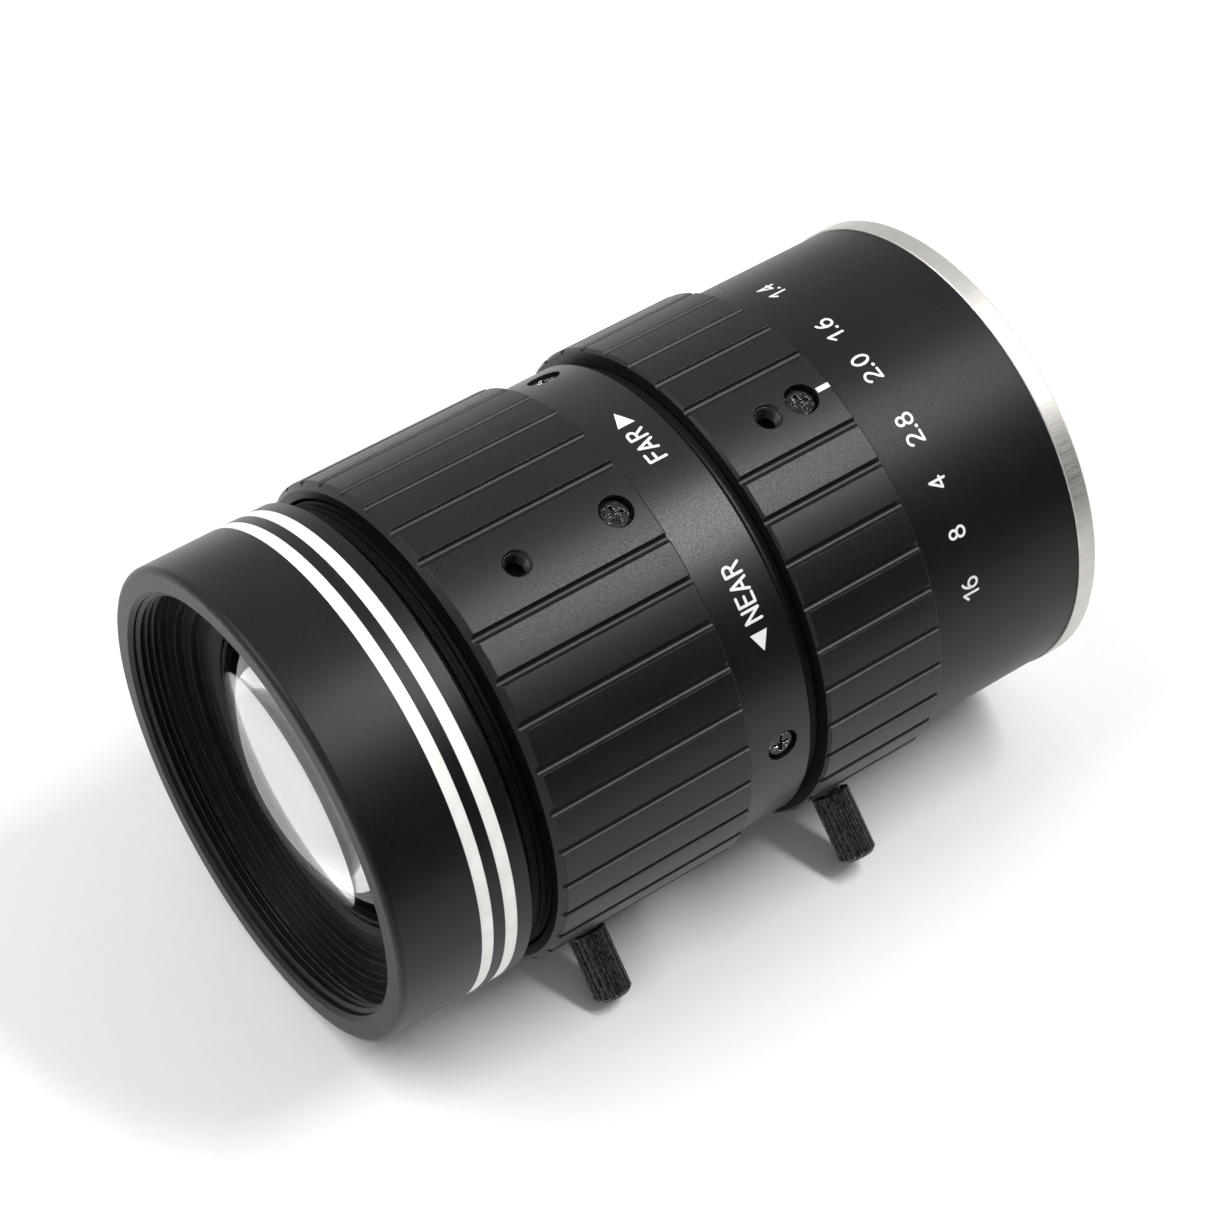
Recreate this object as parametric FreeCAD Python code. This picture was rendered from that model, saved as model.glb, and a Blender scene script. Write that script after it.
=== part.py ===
import FreeCAD
import Part
import math
import os

V = FreeCAD.Vector
ORIGIN = V(0, 0, 0)
AXIS = V(1, 0, 0)

# Lengths along the optical axis in mm. The front of the lens points to -X,
# the camera side to +X, and x = 0 is the rear edge of the rear barrel.
HOOD_LENGTH = 14.9
RECESS = 2.8
FOCUS_LENGTH = 22.5
MID_LENGTH = 8.2
COLLAR = 1.0
IRIS_LENGTH = 14.1
BARREL_LENGTH = 18.6
MOUNT_THICK = 2.3
BOSS_LENGTH = 4.0
TURN_GAP = 0.1

# The rear barrel's radius sets the lens's girth. The other rings stand
# proud of it by their own small steps. The boss is the standard thread.
BARREL_R = 25.0
RING_RISE = 1.1
HOOD_RISE = 0.5
MID_RISE = 0.1
MOUNT_RISE = 0.2
SLEEVE_WALL = 1.65
TUBE_WALL = 2.35
BOSS_R = 12.7

# Fits. RUN is the radial clearance of what turns or slides, SEAT that of
# pieces of one body that are pushed or screwed home, APART the free space
# between pieces of two bodies that don't touch.
RUN = 0.05
SEAT = 0.02
APART = 0.4

# Azimuths are degrees around the axis: 0 is +Z before the lens is rolled
# into its resting pose, and +90 is +Y.
FOCUS_AZ = 18.8
IRIS_AZ = 21.8
MID_AZ = -48.5
MOUNT_AZ = 40.0

# Hood and front glass.
MOUTH_BEVEL = 0.35
MOUTH_STEP = 0.5
MOUTH_ROUND = 0.7
HOOD_WALL = 2.9
THREAD_LENGTH = 2.85
BAFFLE_LENGTH = 2.6
BAFFLE_STEPS = 3
BAFFLE_DROP = 4.6
GLASS_EDGE = 4.0
GLASS_DOME = 2.55
GLASS_BULGE = 0.3
RETAIN_THICK = 0.9
RETAIN_WIDTH = 1.0
SEAT_WIDTH = 1.2
LINE_DEPTH = 0.15
LINE_WIDTHS = (1.4, 1.35)
LINE_SPACE = 1.3
LINE_OFFSET = 1.9
RIDGES = 3
RIDGE = 0.25

# Focus drive: the ring turns FOCUS_TURN degrees each way and the front
# group slides FOCUS_LEAD mm for each degree.
FOCUS_TURN = 60.0
FOCUS_LEAD = 0.01
CAM_PIN_R = 1.0
CAM_DEPTH = 1.0
NECK_LENGTH = 5.0
CELL_LENGTH = 32.0
CELL_HEAD = 8.0
CELL_TAIL = 9.0
CELL_WALL = 5.95
CELL_STEP = 2.0
CELL_LENS_EDGE = 4.0
CELL_BACK_EDGE = 4.5
STOP_RING = 1.2
KEEPER = 2.5
KEEPER_LIP = 1.4
HOLE_STEP = 2.8

# Iris drive: ring angles (right-hand rule about +X) of the widest and the
# smallest opening, counted from the ring's place in the photo.
IRIS_WIDE = -35.2
IRIS_SMALL = 57.0
BLADES = 6
OPEN_R = 6.7
PIVOT_STEP = 5.8
STOP_SMALL = 0.55
BLADE_TAIL = 120.0
DRIVE_ANGLE = 25.0
PIN_R = 0.45
PIN_SPACE = 0.65
LEAF = 0.2
WEB = 0.8
PLATE = 1.3
DRIVE_INSET = 3.5
ACTUATOR_STEP = 0.45
ACTUATOR_WALL = 2.0
ACTUATOR_HEEL = 2.15

# Small screws and the lock thumbscrews.
SHANK_R = 1.0
HEAD_R = 1.65
HEAD_HEIGHT = 0.95
HEAD_SUNK = 0.65
THUMB_R = 1.25
THUMB_HEAD_R = 2.03
THUMB_HEAD = 7.3
THUMB_NECK = 0.9
THUMB_BEVEL = 0.4
KNURL = 18

# Grip channels.
CHANNEL = 1.0
CHANNEL_DEPTH = 0.42
CHANNELS = 36
FRONT_BEVEL = 0.7
EDGE_BEVEL = 0.15

# Rear cell and rear glass.
REAR_WALL = 7.0
REAR_LENS_EDGE = 5.0
REAR_GLASS_R = 9.0
REAR_GLASS_EDGE = 3.1
NOSE_WALL = 1.5
NOSE_SHORT = 1.4
SPIGOT = 1.5

# Stations that follow from the lengths above.
FLANGE = MOUNT_THICK
BOSS_END = FLANGE + BOSS_LENGTH
BARREL_FRONT = -BARREL_LENGTH
IRIS_REAR = BARREL_FRONT - TURN_GAP
IRIS_FRONT = IRIS_REAR - IRIS_LENGTH
COLLAR_REAR = IRIS_FRONT - TURN_GAP
MID_REAR = COLLAR_REAR - COLLAR
MID_FRONT = MID_REAR - MID_LENGTH
FOCUS_REAR = MID_FRONT - TURN_GAP
FOCUS_FRONT = FOCUS_REAR - FOCUS_LENGTH
HOOD_REAR = FOCUS_FRONT - RECESS
HOOD_FACE = HOOD_REAR - HOOD_LENGTH
RING_R = BARREL_R + RING_RISE
HOOD_R = BARREL_R + HOOD_RISE
MID_R = BARREL_R + MID_RISE
MOUNT_R = BARREL_R + MOUNT_RISE
TUBE_R = BARREL_R - SLEEVE_WALL
RING_BORE = TUBE_R + RUN
TUBE_BORE = TUBE_R - TUBE_WALL
THREAD_R = HOOD_R - HOOD_WALL
RETAIN_R = THREAD_R - BAFFLE_DROP
GLASS_R = RETAIN_R - RETAIN_WIDTH
SLIDE = FOCUS_TURN * FOCUS_LEAD
NECK_END = HOOD_REAR + NECK_LENGTH
TUBE_FRONT = NECK_END + SLIDE + 0.9
RING_STOP = TUBE_FRONT + 0.5 + STOP_RING

# Cross sections where screws and pins sit.
STOP_X = FOCUS_REAR - 3.0
FOCUS_HOLE_X = RING_STOP + HOLE_STEP
CAM_X = (FOCUS_HOLE_X + STOP_X) / 2
MID_SCREW_X = (MID_FRONT + MID_REAR) / 2 + 0.2
DRIVE_X = IRIS_REAR - DRIVE_INSET
IRIS_HOLE_X = (IRIS_FRONT + IRIS_REAR) / 2 - 0.45
THIRDS = (0.0, 120.0, 240.0)
CAM_AZ = (FOCUS_AZ + 91.2, FOCUS_AZ - 88.8)

# Iris layout.
PIVOT_R = OPEN_R + PIVOT_STEP
BLADE_OUT = PIVOT_R - PIN_R - PIN_SPACE
BLADE_CLOSED = 2 * math.degrees(math.asin((OPEN_R - STOP_SMALL) / 2 / PIVOT_R))
IRIS_RATIO = BLADE_CLOSED / (IRIS_SMALL - IRIS_WIDE)
BLADE_REST = -IRIS_WIDE * IRIS_RATIO
TAB_R = PIVOT_R + PIN_R + 0.75
WEB_FRONT = DRIVE_X - SHANK_R - 0.2
WEB_REAR = WEB_FRONT + WEB
PLATE_REAR = WEB_FRONT - BLADES * LEAF - (BLADES + 1) * RUN
PLATE_FRONT = PLATE_REAR - PLATE
ACTUATOR_R = TUBE_BORE - ACTUATOR_STEP
ACTUATOR_REAR = DRIVE_X + SHANK_R + ACTUATOR_HEEL
STEP_X = WEB_FRONT - RUN
SHOULDER_X = ACTUATOR_REAR + RUN
REAR_BORE = TUBE_BORE - 2.0
REAR_LENS_R = REAR_BORE - REAR_WALL

# The lens lies on its two grip rings and on the focus thumbscrew's tip.
# ROLL brings that tip down to the level of the rings.
THUMB_START = RING_R + THUMB_NECK
THUMB_TIP = THUMB_START + THUMB_HEAD
TIP_EDGES = ((THUMB_TIP, THUMB_HEAD_R - THUMB_BEVEL),
             (THUMB_TIP - THUMB_BEVEL, THUMB_HEAD_R))
LEAN = max(math.atan2(half, reach) + math.acos(RING_R / math.hypot(reach, half))
           for reach, half in TIP_EDGES)
ROLL = FOCUS_AZ - 120.0 - math.degrees(LEAN) + 180.0


def turned(points):
    """Body of revolution about the lens axis from (x, r) points."""
    wire = Part.makePolygon([V(x, 0, r) for x, r in points + points[:1]])
    return Part.Face(wire).revolve(ORIGIN, AXIS, 360)


def rod(x0, x1, outer):
    return Part.makeCylinder(outer, x1 - x0, V(x0, 0, 0), AXIS)


def tube(x0, x1, outer, inner):
    return rod(x0, x1, outer).cut(rod(x0, x1, inner))


def outward(az):
    a = math.radians(az)
    return V(0, math.sin(a), math.cos(a))


def radial(x, az, r0, r1, radius, end=None):
    """Round bar along a radius, from r0 out to r1, tapering to end."""
    n = outward(az)
    start = V(x, 0, 0) + n * r0
    if end is None:
        return Part.makeCylinder(radius, r1 - r0, start, n)
    return Part.makeCone(radius, end, r1 - r0, start, n)


def around(shape, az):
    """Turn a piece made at azimuth 0 to azimuth az."""
    copy = shape.copy()
    copy.rotate(ORIGIN, AXIS, -az)
    return copy


def sector(x0, x1, outer, az0, az1):
    """Pie slice around the axis between two azimuths."""
    piece = Part.makeCylinder(outer, x1 - x0, V(x0, 0, 0), AXIS, az1 - az0)
    c = piece.CenterOfMass
    middle = math.degrees(math.atan2(c.y, c.z))
    piece.rotate(ORIGIN, AXIS, middle - (az0 + az1) / 2)
    return piece


def arc_slot(x, half, r0, r1, az0, az1):
    """Slot around the axis between two azimuths, half wide each side of x."""
    return sector(x - half, x + half, r1, az0, az1).cut(rod(x - half, x + half, r0))


def cut_all(body, tools):
    return body.cut(Part.makeCompound(tools))


def ball(x_edge, radius, sag, side):
    """Ball through the circle at x_edge that rises by sag towards side
    (-1 is the front, +1 the rear)."""
    ball_r = (radius ** 2 + sag ** 2) / (2 * sag)
    return Part.makeSphere(ball_r, V(x_edge + side * (sag - ball_r), 0, 0))


def lens(x0, x1, radius, front, rear):
    """Round lens from x0 to x1 at its edge. A positive sag is convex and
    reaches past the edge, a negative one is hollow."""
    body = rod(x0, x1, radius)
    for edge, side, sag in ((x0, -1, front), (x1, 1, rear)):
        if sag > 0:
            low = min(edge, edge + side * sag)
            cap = ball(edge, radius, sag, side).common(rod(low, low + sag, radius))
            body = body.fuse(cap)
        else:
            body = body.cut(ball(edge, radius, -sag, -side))
    return body.removeSplitter()


def holder(x0, x1, outer, inner, glass_edge, glass_r, sag, side):
    """Retaining ring, hollowed where the lens that it holds is domed."""
    return tube(x0, x1, outer, inner).cut(ball(glass_edge, glass_r, sag, side))


def sunk_screw(x, az, face, tip, sunk=HEAD_SUNK):
    """Cross-head screw sunk below a face at radius face, its end at tip."""
    top = face - sunk
    seat = top - HEAD_HEIGHT
    body = radial(x, az, tip, seat, SHANK_R)
    body = body.fuse(radial(x, az, seat, top - 0.25, HEAD_R))
    body = body.fuse(radial(x, az, top - 0.25, top, HEAD_R, HEAD_R - 0.35))
    for dx, dy in ((2.0, 0.42), (0.42, 2.0)):
        bar = Part.makeBox(dx, dy, 1.5, V(x - dx / 2, -dy / 2, top - 0.45))
        body = body.cut(around(bar, az))
    return body.removeSplitter()


def screw_hole(x, az, face, floor, sunk=HEAD_SUNK):
    """Counterbored hole for sunk_screw, open down to radius floor."""
    seat = face - sunk - HEAD_HEIGHT
    return radial(x, az, floor, seat, SHANK_R + SEAT).fuse(
        radial(x, az, seat, face + 1, HEAD_R + 2 * RUN))


def lock_holes(x, azimuth):
    """Three threaded holes; the last holds the thumbscrew."""
    tools = []
    for turn in THIRDS:
        wide = THUMB_R + (RUN if turn == THIRDS[2] else 0.0)
        tools.append(radial(x, azimuth + turn, RING_BORE - 1, RING_R + 1, wide))
    tools.append(radial(x, azimuth, RING_R - 0.25, RING_R + 0.05, THUMB_R, THUMB_R + 0.3))
    return tools


def grip_ring(x0, x1, azimuth, front_bevel):
    """Ring with open round-bottomed channels all around, left out at the three panels
    where the lock screws go."""
    body = turned([(x0, RING_BORE), (x0, RING_R - front_bevel),
                   (x0 + front_bevel, RING_R), (x1 - EDGE_BEVEL, RING_R),
                   (x1, RING_R - EDGE_BEVEL), (x1, RING_BORE)])
    tools = []
    bar_r = (CHANNEL ** 2 / 4 + CHANNEL_DEPTH ** 2) / (2 * CHANNEL_DEPTH)
    foot = V(x0 - 1, 0, RING_R - CHANNEL_DEPTH + bar_r)
    for k in range(CHANNELS):
        if k % (CHANNELS // 3):
            bar = Part.makeCylinder(bar_r, x1 - x0 + 2, foot, AXIS)
            tools.append(around(bar, azimuth + 360.0 / CHANNELS * k))
    return cut_all(body, tools)


def save(shape, name):
    """Roll the piece into the resting pose, with X = 0 at the flange."""
    piece = shape.copy()
    piece.rotate(ORIGIN, AXIS, ROLL)
    piece.translate(V(-FLANGE, 0, 0))
    piece.exportStep("parts/%s.step" % name)


os.makedirs("parts", exist_ok=True)

# Front barrel: hood with the filter thread, a stepped baffle, the seat of
# the front glass, and the ridged neck that runs into the focus ring.
BAFFLE_X = HOOD_FACE + MOUTH_BEVEL + THREAD_LENGTH
BAFFLE_END = BAFFLE_X + BAFFLE_LENGTH
GLASS_FRONT = BAFFLE_END + RETAIN_THICK + 0.1
GLASS_REAR = GLASS_FRONT + GLASS_EDGE
CELL_FRONT = GLASS_REAR + 1.6
CELL_R = TUBE_BORE - RUN
CELL_LENS_R = CELL_R - CELL_WALL
CELL_BACK_R = CELL_LENS_R - CELL_STEP
NECK_R = RING_R - 2.2
NECK_BORE = NECK_R + RIDGE + 0.35
NECK_INNER = CELL_R + SEAT

profile = [(HOOD_FACE, THREAD_R + MOUTH_STEP), (HOOD_FACE + MOUTH_BEVEL, THREAD_R), (BAFFLE_X, THREAD_R)]
for k in range(BAFFLE_STEPS):
    r = THREAD_R - 0.3 - (THREAD_R - 0.3 - RETAIN_R) * k / BAFFLE_STEPS
    x = BAFFLE_X + BAFFLE_LENGTH * k / BAFFLE_STEPS
    profile += [(x, r), (x + BAFFLE_LENGTH / BAFFLE_STEPS, r)]
profile += [(BAFFLE_END, RETAIN_R), (GLASS_FRONT, RETAIN_R),
            (GLASS_FRONT, GLASS_R + SEAT), (GLASS_REAR, GLASS_R + SEAT),
            (GLASS_REAR, GLASS_R - SEAT_WIDTH), (CELL_FRONT, GLASS_R - SEAT_WIDTH),
            (CELL_FRONT, NECK_INNER), (NECK_END, NECK_INNER), (NECK_END, NECK_R)]
for k in range(RIDGES):
    x = HOOD_REAR + 0.9 + 1.1 * (RIDGES - 1 - k)
    profile += [(x + 0.35, NECK_R), (x + 0.2, NECK_R + RIDGE),
                (x - 0.2, NECK_R + RIDGE), (x - 0.35, NECK_R)]
profile += [(HOOD_REAR, NECK_R), (HOOD_REAR, HOOD_R - 0.3), (HOOD_REAR - 0.3, HOOD_R)]
x = HOOD_REAR - LINE_OFFSET
for width in LINE_WIDTHS:
    profile += [(x, HOOD_R), (x, HOOD_R - LINE_DEPTH),
                (x - width, HOOD_R - LINE_DEPTH), (x - width, HOOD_R)]
    x -= width + LINE_SPACE
profile += [(HOOD_FACE, HOOD_R)]
front_barrel = turned(profile)
brim = [edge for edge in front_barrel.Edges
        if abs(edge.BoundBox.XMax - HOOD_FACE) < 0.01 and abs(edge.BoundBox.ZMax - HOOD_R) < 0.01]
front_barrel = front_barrel.makeFillet(MOUTH_ROUND, brim)
front_barrel = front_barrel.cut(ball(GLASS_REAR, GLASS_R, GLASS_BULGE, 1).common(
    rod(GLASS_REAR, GLASS_REAR + GLASS_BULGE, GLASS_R)))
save(front_barrel, "front_barrel")
save(lens(GLASS_FRONT, GLASS_REAR, GLASS_R, GLASS_DOME, GLASS_BULGE), "front_glass")

# The ring that holds the front glass has a bevelled mouth and two spanner
# slots.
lip = GLASS_FRONT - RETAIN_THICK
retainer = turned([(lip, GLASS_R - 0.1), (GLASS_FRONT - 0.35, GLASS_R - 0.65),
                   (GLASS_FRONT, GLASS_R - 0.65), (GLASS_FRONT, RETAIN_R - SEAT),
                   (lip, RETAIN_R - SEAT)])
retainer = retainer.cut(ball(GLASS_FRONT, GLASS_R, GLASS_DOME, -1))
retainer = retainer.cut(Part.makeBox(0.6, 1.4, 3 * GLASS_R, V(lip - 0.1, -0.7, -1.5 * GLASS_R)))
save(retainer, "front_retainer")

# Focus cell: slides in the main tube and carries the moving glass. Its two
# cam pins stand in the straight slots of the tube.
CELL_REAR = CELL_FRONT + CELL_LENGTH
FRONT_SEAT = CELL_FRONT + CELL_HEAD
BACK_SEAT = CELL_REAR - CELL_TAIL
PIN_FOOT = CELL_R - 1.45
focus_cell = turned([
    (CELL_FRONT, CELL_R), (CELL_FRONT, CELL_LENS_R + SEAT),
    (FRONT_SEAT, CELL_LENS_R + SEAT), (FRONT_SEAT, CELL_LENS_R - 1),
    (FRONT_SEAT + CELL_HEAD, CELL_LENS_R - 1), (FRONT_SEAT + CELL_HEAD, CELL_BACK_R - 0.8),
    (BACK_SEAT, CELL_BACK_R - 0.8), (BACK_SEAT, CELL_BACK_R + SEAT),
    (CELL_REAR, CELL_BACK_R + SEAT), (CELL_REAR, CELL_R - 0.4), (CELL_REAR - 0.4, CELL_R)])
focus_cell = cut_all(focus_cell, [radial(CAM_X, az, PIN_FOOT, CELL_R + 1, CAM_PIN_R) for az in CAM_AZ])
save(focus_cell, "focus_cell")
x = FRONT_SEAT - CELL_LENS_EDGE
save(lens(x, FRONT_SEAT, CELL_LENS_R, 1.0, -1.6), "cell_front_lens")
save(holder(x - KEEPER, x, CELL_LENS_R, CELL_LENS_R - KEEPER_LIP, x, CELL_LENS_R, 1.0, -1), "cell_front_ring")
x = BACK_SEAT + CELL_BACK_EDGE
save(lens(BACK_SEAT, x, CELL_BACK_R, -1.0, 1.2), "cell_rear_lens")
save(holder(x, x + KEEPER, CELL_BACK_R, CELL_BACK_R - KEEPER_LIP, x, CELL_BACK_R, 1.2, 1), "cell_rear_ring")
CAM_FLOOR = RING_BORE + CAM_DEPTH
for n, az in enumerate(CAM_AZ, 1):
    save(radial(CAM_X, az, PIN_FOOT, CAM_FLOOR - APART + 0.05, CAM_PIN_R), "cam_pin_%d" % n)

# Main tube: the fixed core. It is the bearing of both rings, with a collar
# between them, slots for the drive pins, and step seats for the iris and
# the rear cell.
COLLAR_R = (TUBE_R + MID_R) / 2
THREAD_STEP = TUBE_R - 0.35
pin_wide = SHANK_R + 0.08
main_tube = turned([
    (TUBE_FRONT, TUBE_BORE), (TUBE_FRONT, THREAD_STEP), (RING_STOP, THREAD_STEP),
    (RING_STOP, TUBE_R), (MID_REAR, TUBE_R), (MID_REAR, COLLAR_R),
    (COLLAR_REAR, COLLAR_R), (COLLAR_REAR, TUBE_R), (0, TUBE_R),
    (0, REAR_BORE), (SHOULDER_X, REAR_BORE), (SHOULDER_X, ACTUATOR_R + RUN),
    (STEP_X, ACTUATOR_R + RUN), (STEP_X, TUBE_BORE)])
tools = []
for az in CAM_AZ:
    half = SLIDE + APART
    wide = CAM_PIN_R + RUN
    slot = Part.makeBox(2 * half, 2 * wide, TUBE_WALL + 2, V(CAM_X - half, -wide, TUBE_BORE - 1))
    for x in (CAM_X - half, CAM_X + half):
        slot = slot.fuse(Part.makeCylinder(wide, TUBE_WALL + 2, V(x, 0, TUBE_BORE - 1)))
    tools.append(around(slot, az))
stop_floor = TUBE_R - 1.45
ends = math.degrees(pin_wide / stop_floor) + 0.9
tools.append(arc_slot(STOP_X, pin_wide, stop_floor, TUBE_R + 1,
                      FOCUS_AZ - FOCUS_TURN - ends, FOCUS_AZ + FOCUS_TURN + ends))
ends = math.degrees(pin_wide / ACTUATOR_R) + 0.9
tools.append(arc_slot(DRIVE_X, pin_wide, ACTUATOR_R - 1, TUBE_R + 1,
                      IRIS_AZ - IRIS_SMALL - ends, IRIS_AZ - IRIS_WIDE + ends))
mid_tip = TUBE_BORE + 0.5
for turn in THIRDS:
    tools.append(radial(MID_SCREW_X, MID_AZ + turn, mid_tip, MID_R, SHANK_R))
MOUNT_SCREW_R = (REAR_BORE + TUBE_R) / 2
MOUNT_SCREW = 4.0
for turn in THIRDS:
    tools.append(Part.makeCylinder(SHANK_R, MOUNT_SCREW + 2, outward(MOUNT_AZ + turn) * MOUNT_SCREW_R
                                   - AXIS * MOUNT_SCREW, AXIS))
save(cut_all(main_tube, tools), "main_tube")
stop_ring = turned([(RING_STOP - STOP_RING, THREAD_STEP + SEAT), (RING_STOP - STOP_RING, TUBE_R + 0.65),
                    (RING_STOP - STOP_RING + 0.1, TUBE_R + 0.75), (RING_STOP, TUBE_R + 0.75),
                    (RING_STOP, THREAD_STEP + SEAT)])
save(stop_ring, "focus_stop_ring")

# Focus ring: bears on the main tube, is widened in front for the neck of
# the front barrel, and has two inside grooves that lead the cam pins along
# the axis as it turns.
focus_ring = grip_ring(FOCUS_FRONT, FOCUS_REAR, FOCUS_AZ, FRONT_BEVEL)
focus_ring = focus_ring.cut(rod(FOCUS_FRONT - 1, RING_STOP + TURN_GAP, NECK_BORE))
reach = FOCUS_TURN + math.degrees(CAM_PIN_R / RING_BORE) + 1.1
middle_r = (RING_BORE + CAM_FLOOR) / 2
for az in CAM_AZ:
    path = Part.makeHelix(360 * FOCUS_LEAD, 2 * reach * FOCUS_LEAD, middle_r)
    path.rotate(ORIGIN, V(0, 1, 0), 90)
    first = path.Edges[0].valueAt(path.Edges[0].FirstParameter)
    path.rotate(ORIGIN, AXIS, math.degrees(math.atan2(first.y, first.z)) - (az + reach))
    path.translate(V(CAM_X - FOCUS_LEAD * reach - first.x, 0, 0))
    edge = path.Edges[0]
    foot = edge.valueAt(edge.FirstParameter)
    up = V(0, foot.y, foot.z).normalize()
    low, high = foot - up * CAM_DEPTH, foot + up * (CAM_FLOOR - middle_r)
    side = V(CAM_PIN_R + RUN, 0, 0)
    section = Part.makePolygon([low - side, high - side, high + side, low + side, low - side])
    focus_ring = focus_ring.cut(Part.Wire(path.Edges).makePipeShell([section], True, True))
tools = lock_holes(FOCUS_HOLE_X, FOCUS_AZ)
tools.append(screw_hole(STOP_X, FOCUS_AZ, RING_R, RING_BORE - 1))
save(cut_all(focus_ring, tools), "focus_ring")
save(sunk_screw(STOP_X, FOCUS_AZ, RING_R, stop_floor + APART), "focus_stop_screw")

# Mid ring: fixed on the main tube by three sunk screws. It carries the
# focus direction marks.
mid_ring = turned([(MID_FRONT, TUBE_R + SEAT), (MID_FRONT, MID_R),
                   (MID_REAR - 0.55, MID_R), (MID_REAR - 0.15, MID_R - 0.25),
                   (MID_REAR, MID_R - 0.6), (MID_REAR, TUBE_R + SEAT)])
MID_SUNK = 0.35
for n, turn in enumerate(THIRDS, 1):
    az = MID_AZ + turn
    mid_ring = mid_ring.cut(screw_hole(MID_SCREW_X, az, MID_R, TUBE_R - 1, MID_SUNK))
    save(sunk_screw(MID_SCREW_X, az, MID_R, mid_tip, MID_SUNK), "mid_screw_%d" % n)
save(mid_ring, "mid_ring")

# Iris ring: turns between the collar and the rear barrel. Its sunk screw
# reaches through the tube into the actuator.
iris_ring = grip_ring(IRIS_FRONT, IRIS_REAR, IRIS_AZ, 2 * EDGE_BEVEL)
tools = lock_holes(IRIS_HOLE_X, IRIS_AZ)
tools.append(screw_hole(DRIVE_X, IRIS_AZ, RING_R, RING_BORE - 1))
save(cut_all(iris_ring, tools), "iris_ring")
save(sunk_screw(DRIVE_X, IRIS_AZ, RING_R, ACTUATOR_R - 1.25), "iris_drive_screw")


# The iris is drawn in the plane of Y and Z, where angles grow from +Y
# towards +Z, the right-hand sense about +X.
def flat(angle, radius):
    a = math.radians(angle)
    return radius * math.cos(a), radius * math.sin(a)


def swung(p, angle, about=(0.0, 0.0)):
    a = math.radians(angle)
    dx, dy = p[0] - about[0], p[1] - about[1]
    return (about[0] + dx * math.cos(a) - dy * math.sin(a),
            about[1] + dx * math.sin(a) + dy * math.cos(a))


def smooth(points, x):
    curve = Part.BSplineCurve()
    curve.interpolate([V(x, *p) for p in points])
    return curve.toShape()


def cam_slot(x0, x1, count=24):
    """Slot that keeps a blade's drive pin in step with the ring: the pin's
    path as the turning actuator sees it, widened by the running fit."""
    wide = PIN_R + RUN
    path = []
    for k in range(count + 1):
        ring = IRIS_WIDE + (IRIS_SMALL - IRIS_WIDE) * k / count
        pin = swung(flat(DRIVE_ANGLE, PIVOT_R), (ring - IRIS_WIDE) * IRIS_RATIO, (PIVOT_R, 0.0))
        path.append(swung(pin, -ring))
    left, right = [], []
    for k, p in enumerate(path):
        a, b = path[max(k - 1, 0)], path[min(k + 1, count)]
        size = math.hypot(b[0] - a[0], b[1] - a[1]) / wide
        nx, ny = (a[1] - b[1]) / size, (b[0] - a[0]) / size
        left.append((p[0] + nx, p[1] + ny))
        right.append((p[0] - nx, p[1] - ny))

    def cap(end, before, first, last):
        size = math.hypot(end[0] - before[0], end[1] - before[1]) / wide
        tip = (end[0] + (end[0] - before[0]) / size, end[1] + (end[1] - before[1]) / size)
        return Part.Arc(V(x0, *first), V(x0, *tip), V(x0, *last)).toShape()

    edges = [smooth(left, x0), cap(path[-1], path[-2], left[-1], right[-1]),
             smooth(right[::-1], x0), cap(path[0], path[1], right[0], left[0])]
    return Part.Face(Part.Wire(edges)).extrude(V(x1 - x0, 0, 0))


actuator = turned([(WEB_FRONT, OPEN_R + 0.7), (WEB_FRONT, ACTUATOR_R),
                   (ACTUATOR_REAR, ACTUATOR_R), (ACTUATOR_REAR, ACTUATOR_R - ACTUATOR_WALL),
                   (WEB_REAR, ACTUATOR_R - ACTUATOR_WALL), (WEB_REAR, OPEN_R + 0.7)])
tools = [radial(DRIVE_X, IRIS_AZ, ACTUATOR_R - 2.5, ACTUATOR_R + 1, SHANK_R + SEAT)]
for k in range(BLADES):
    slot = cam_slot(WEB_FRONT - 0.5, WEB_REAR + 0.5)
    slot.rotate(ORIGIN, AXIS, 360.0 / BLADES * k)
    tools.append(slot)
save(cut_all(actuator, tools), "iris_actuator")

WALL_R = TAB_R + 1.3
PIN_DEEP = 0.8
housing = turned([(PLATE_FRONT, OPEN_R + 0.9), (PLATE_FRONT, TUBE_BORE - SEAT),
                  (STEP_X, TUBE_BORE - SEAT), (STEP_X, WALL_R),
                  (PLATE_REAR, WALL_R), (PLATE_REAR, OPEN_R + 0.3)])
tools = []
for k in range(BLADES):
    spot = flat(360.0 / BLADES * k, PIVOT_R)
    tools.append(Part.makeCylinder(PIN_R + RUN, PIN_DEEP + 1, V(PLATE_REAR - PIN_DEEP - RUN, *spot), AXIS))
save(cut_all(housing, tools), "iris_housing")
save(tube(PLATE_FRONT - KEEPER / 2, PLATE_FRONT, TUBE_BORE - SEAT, TUBE_BORE - 2 * KEEPER_LIP), "iris_retainer")


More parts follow.
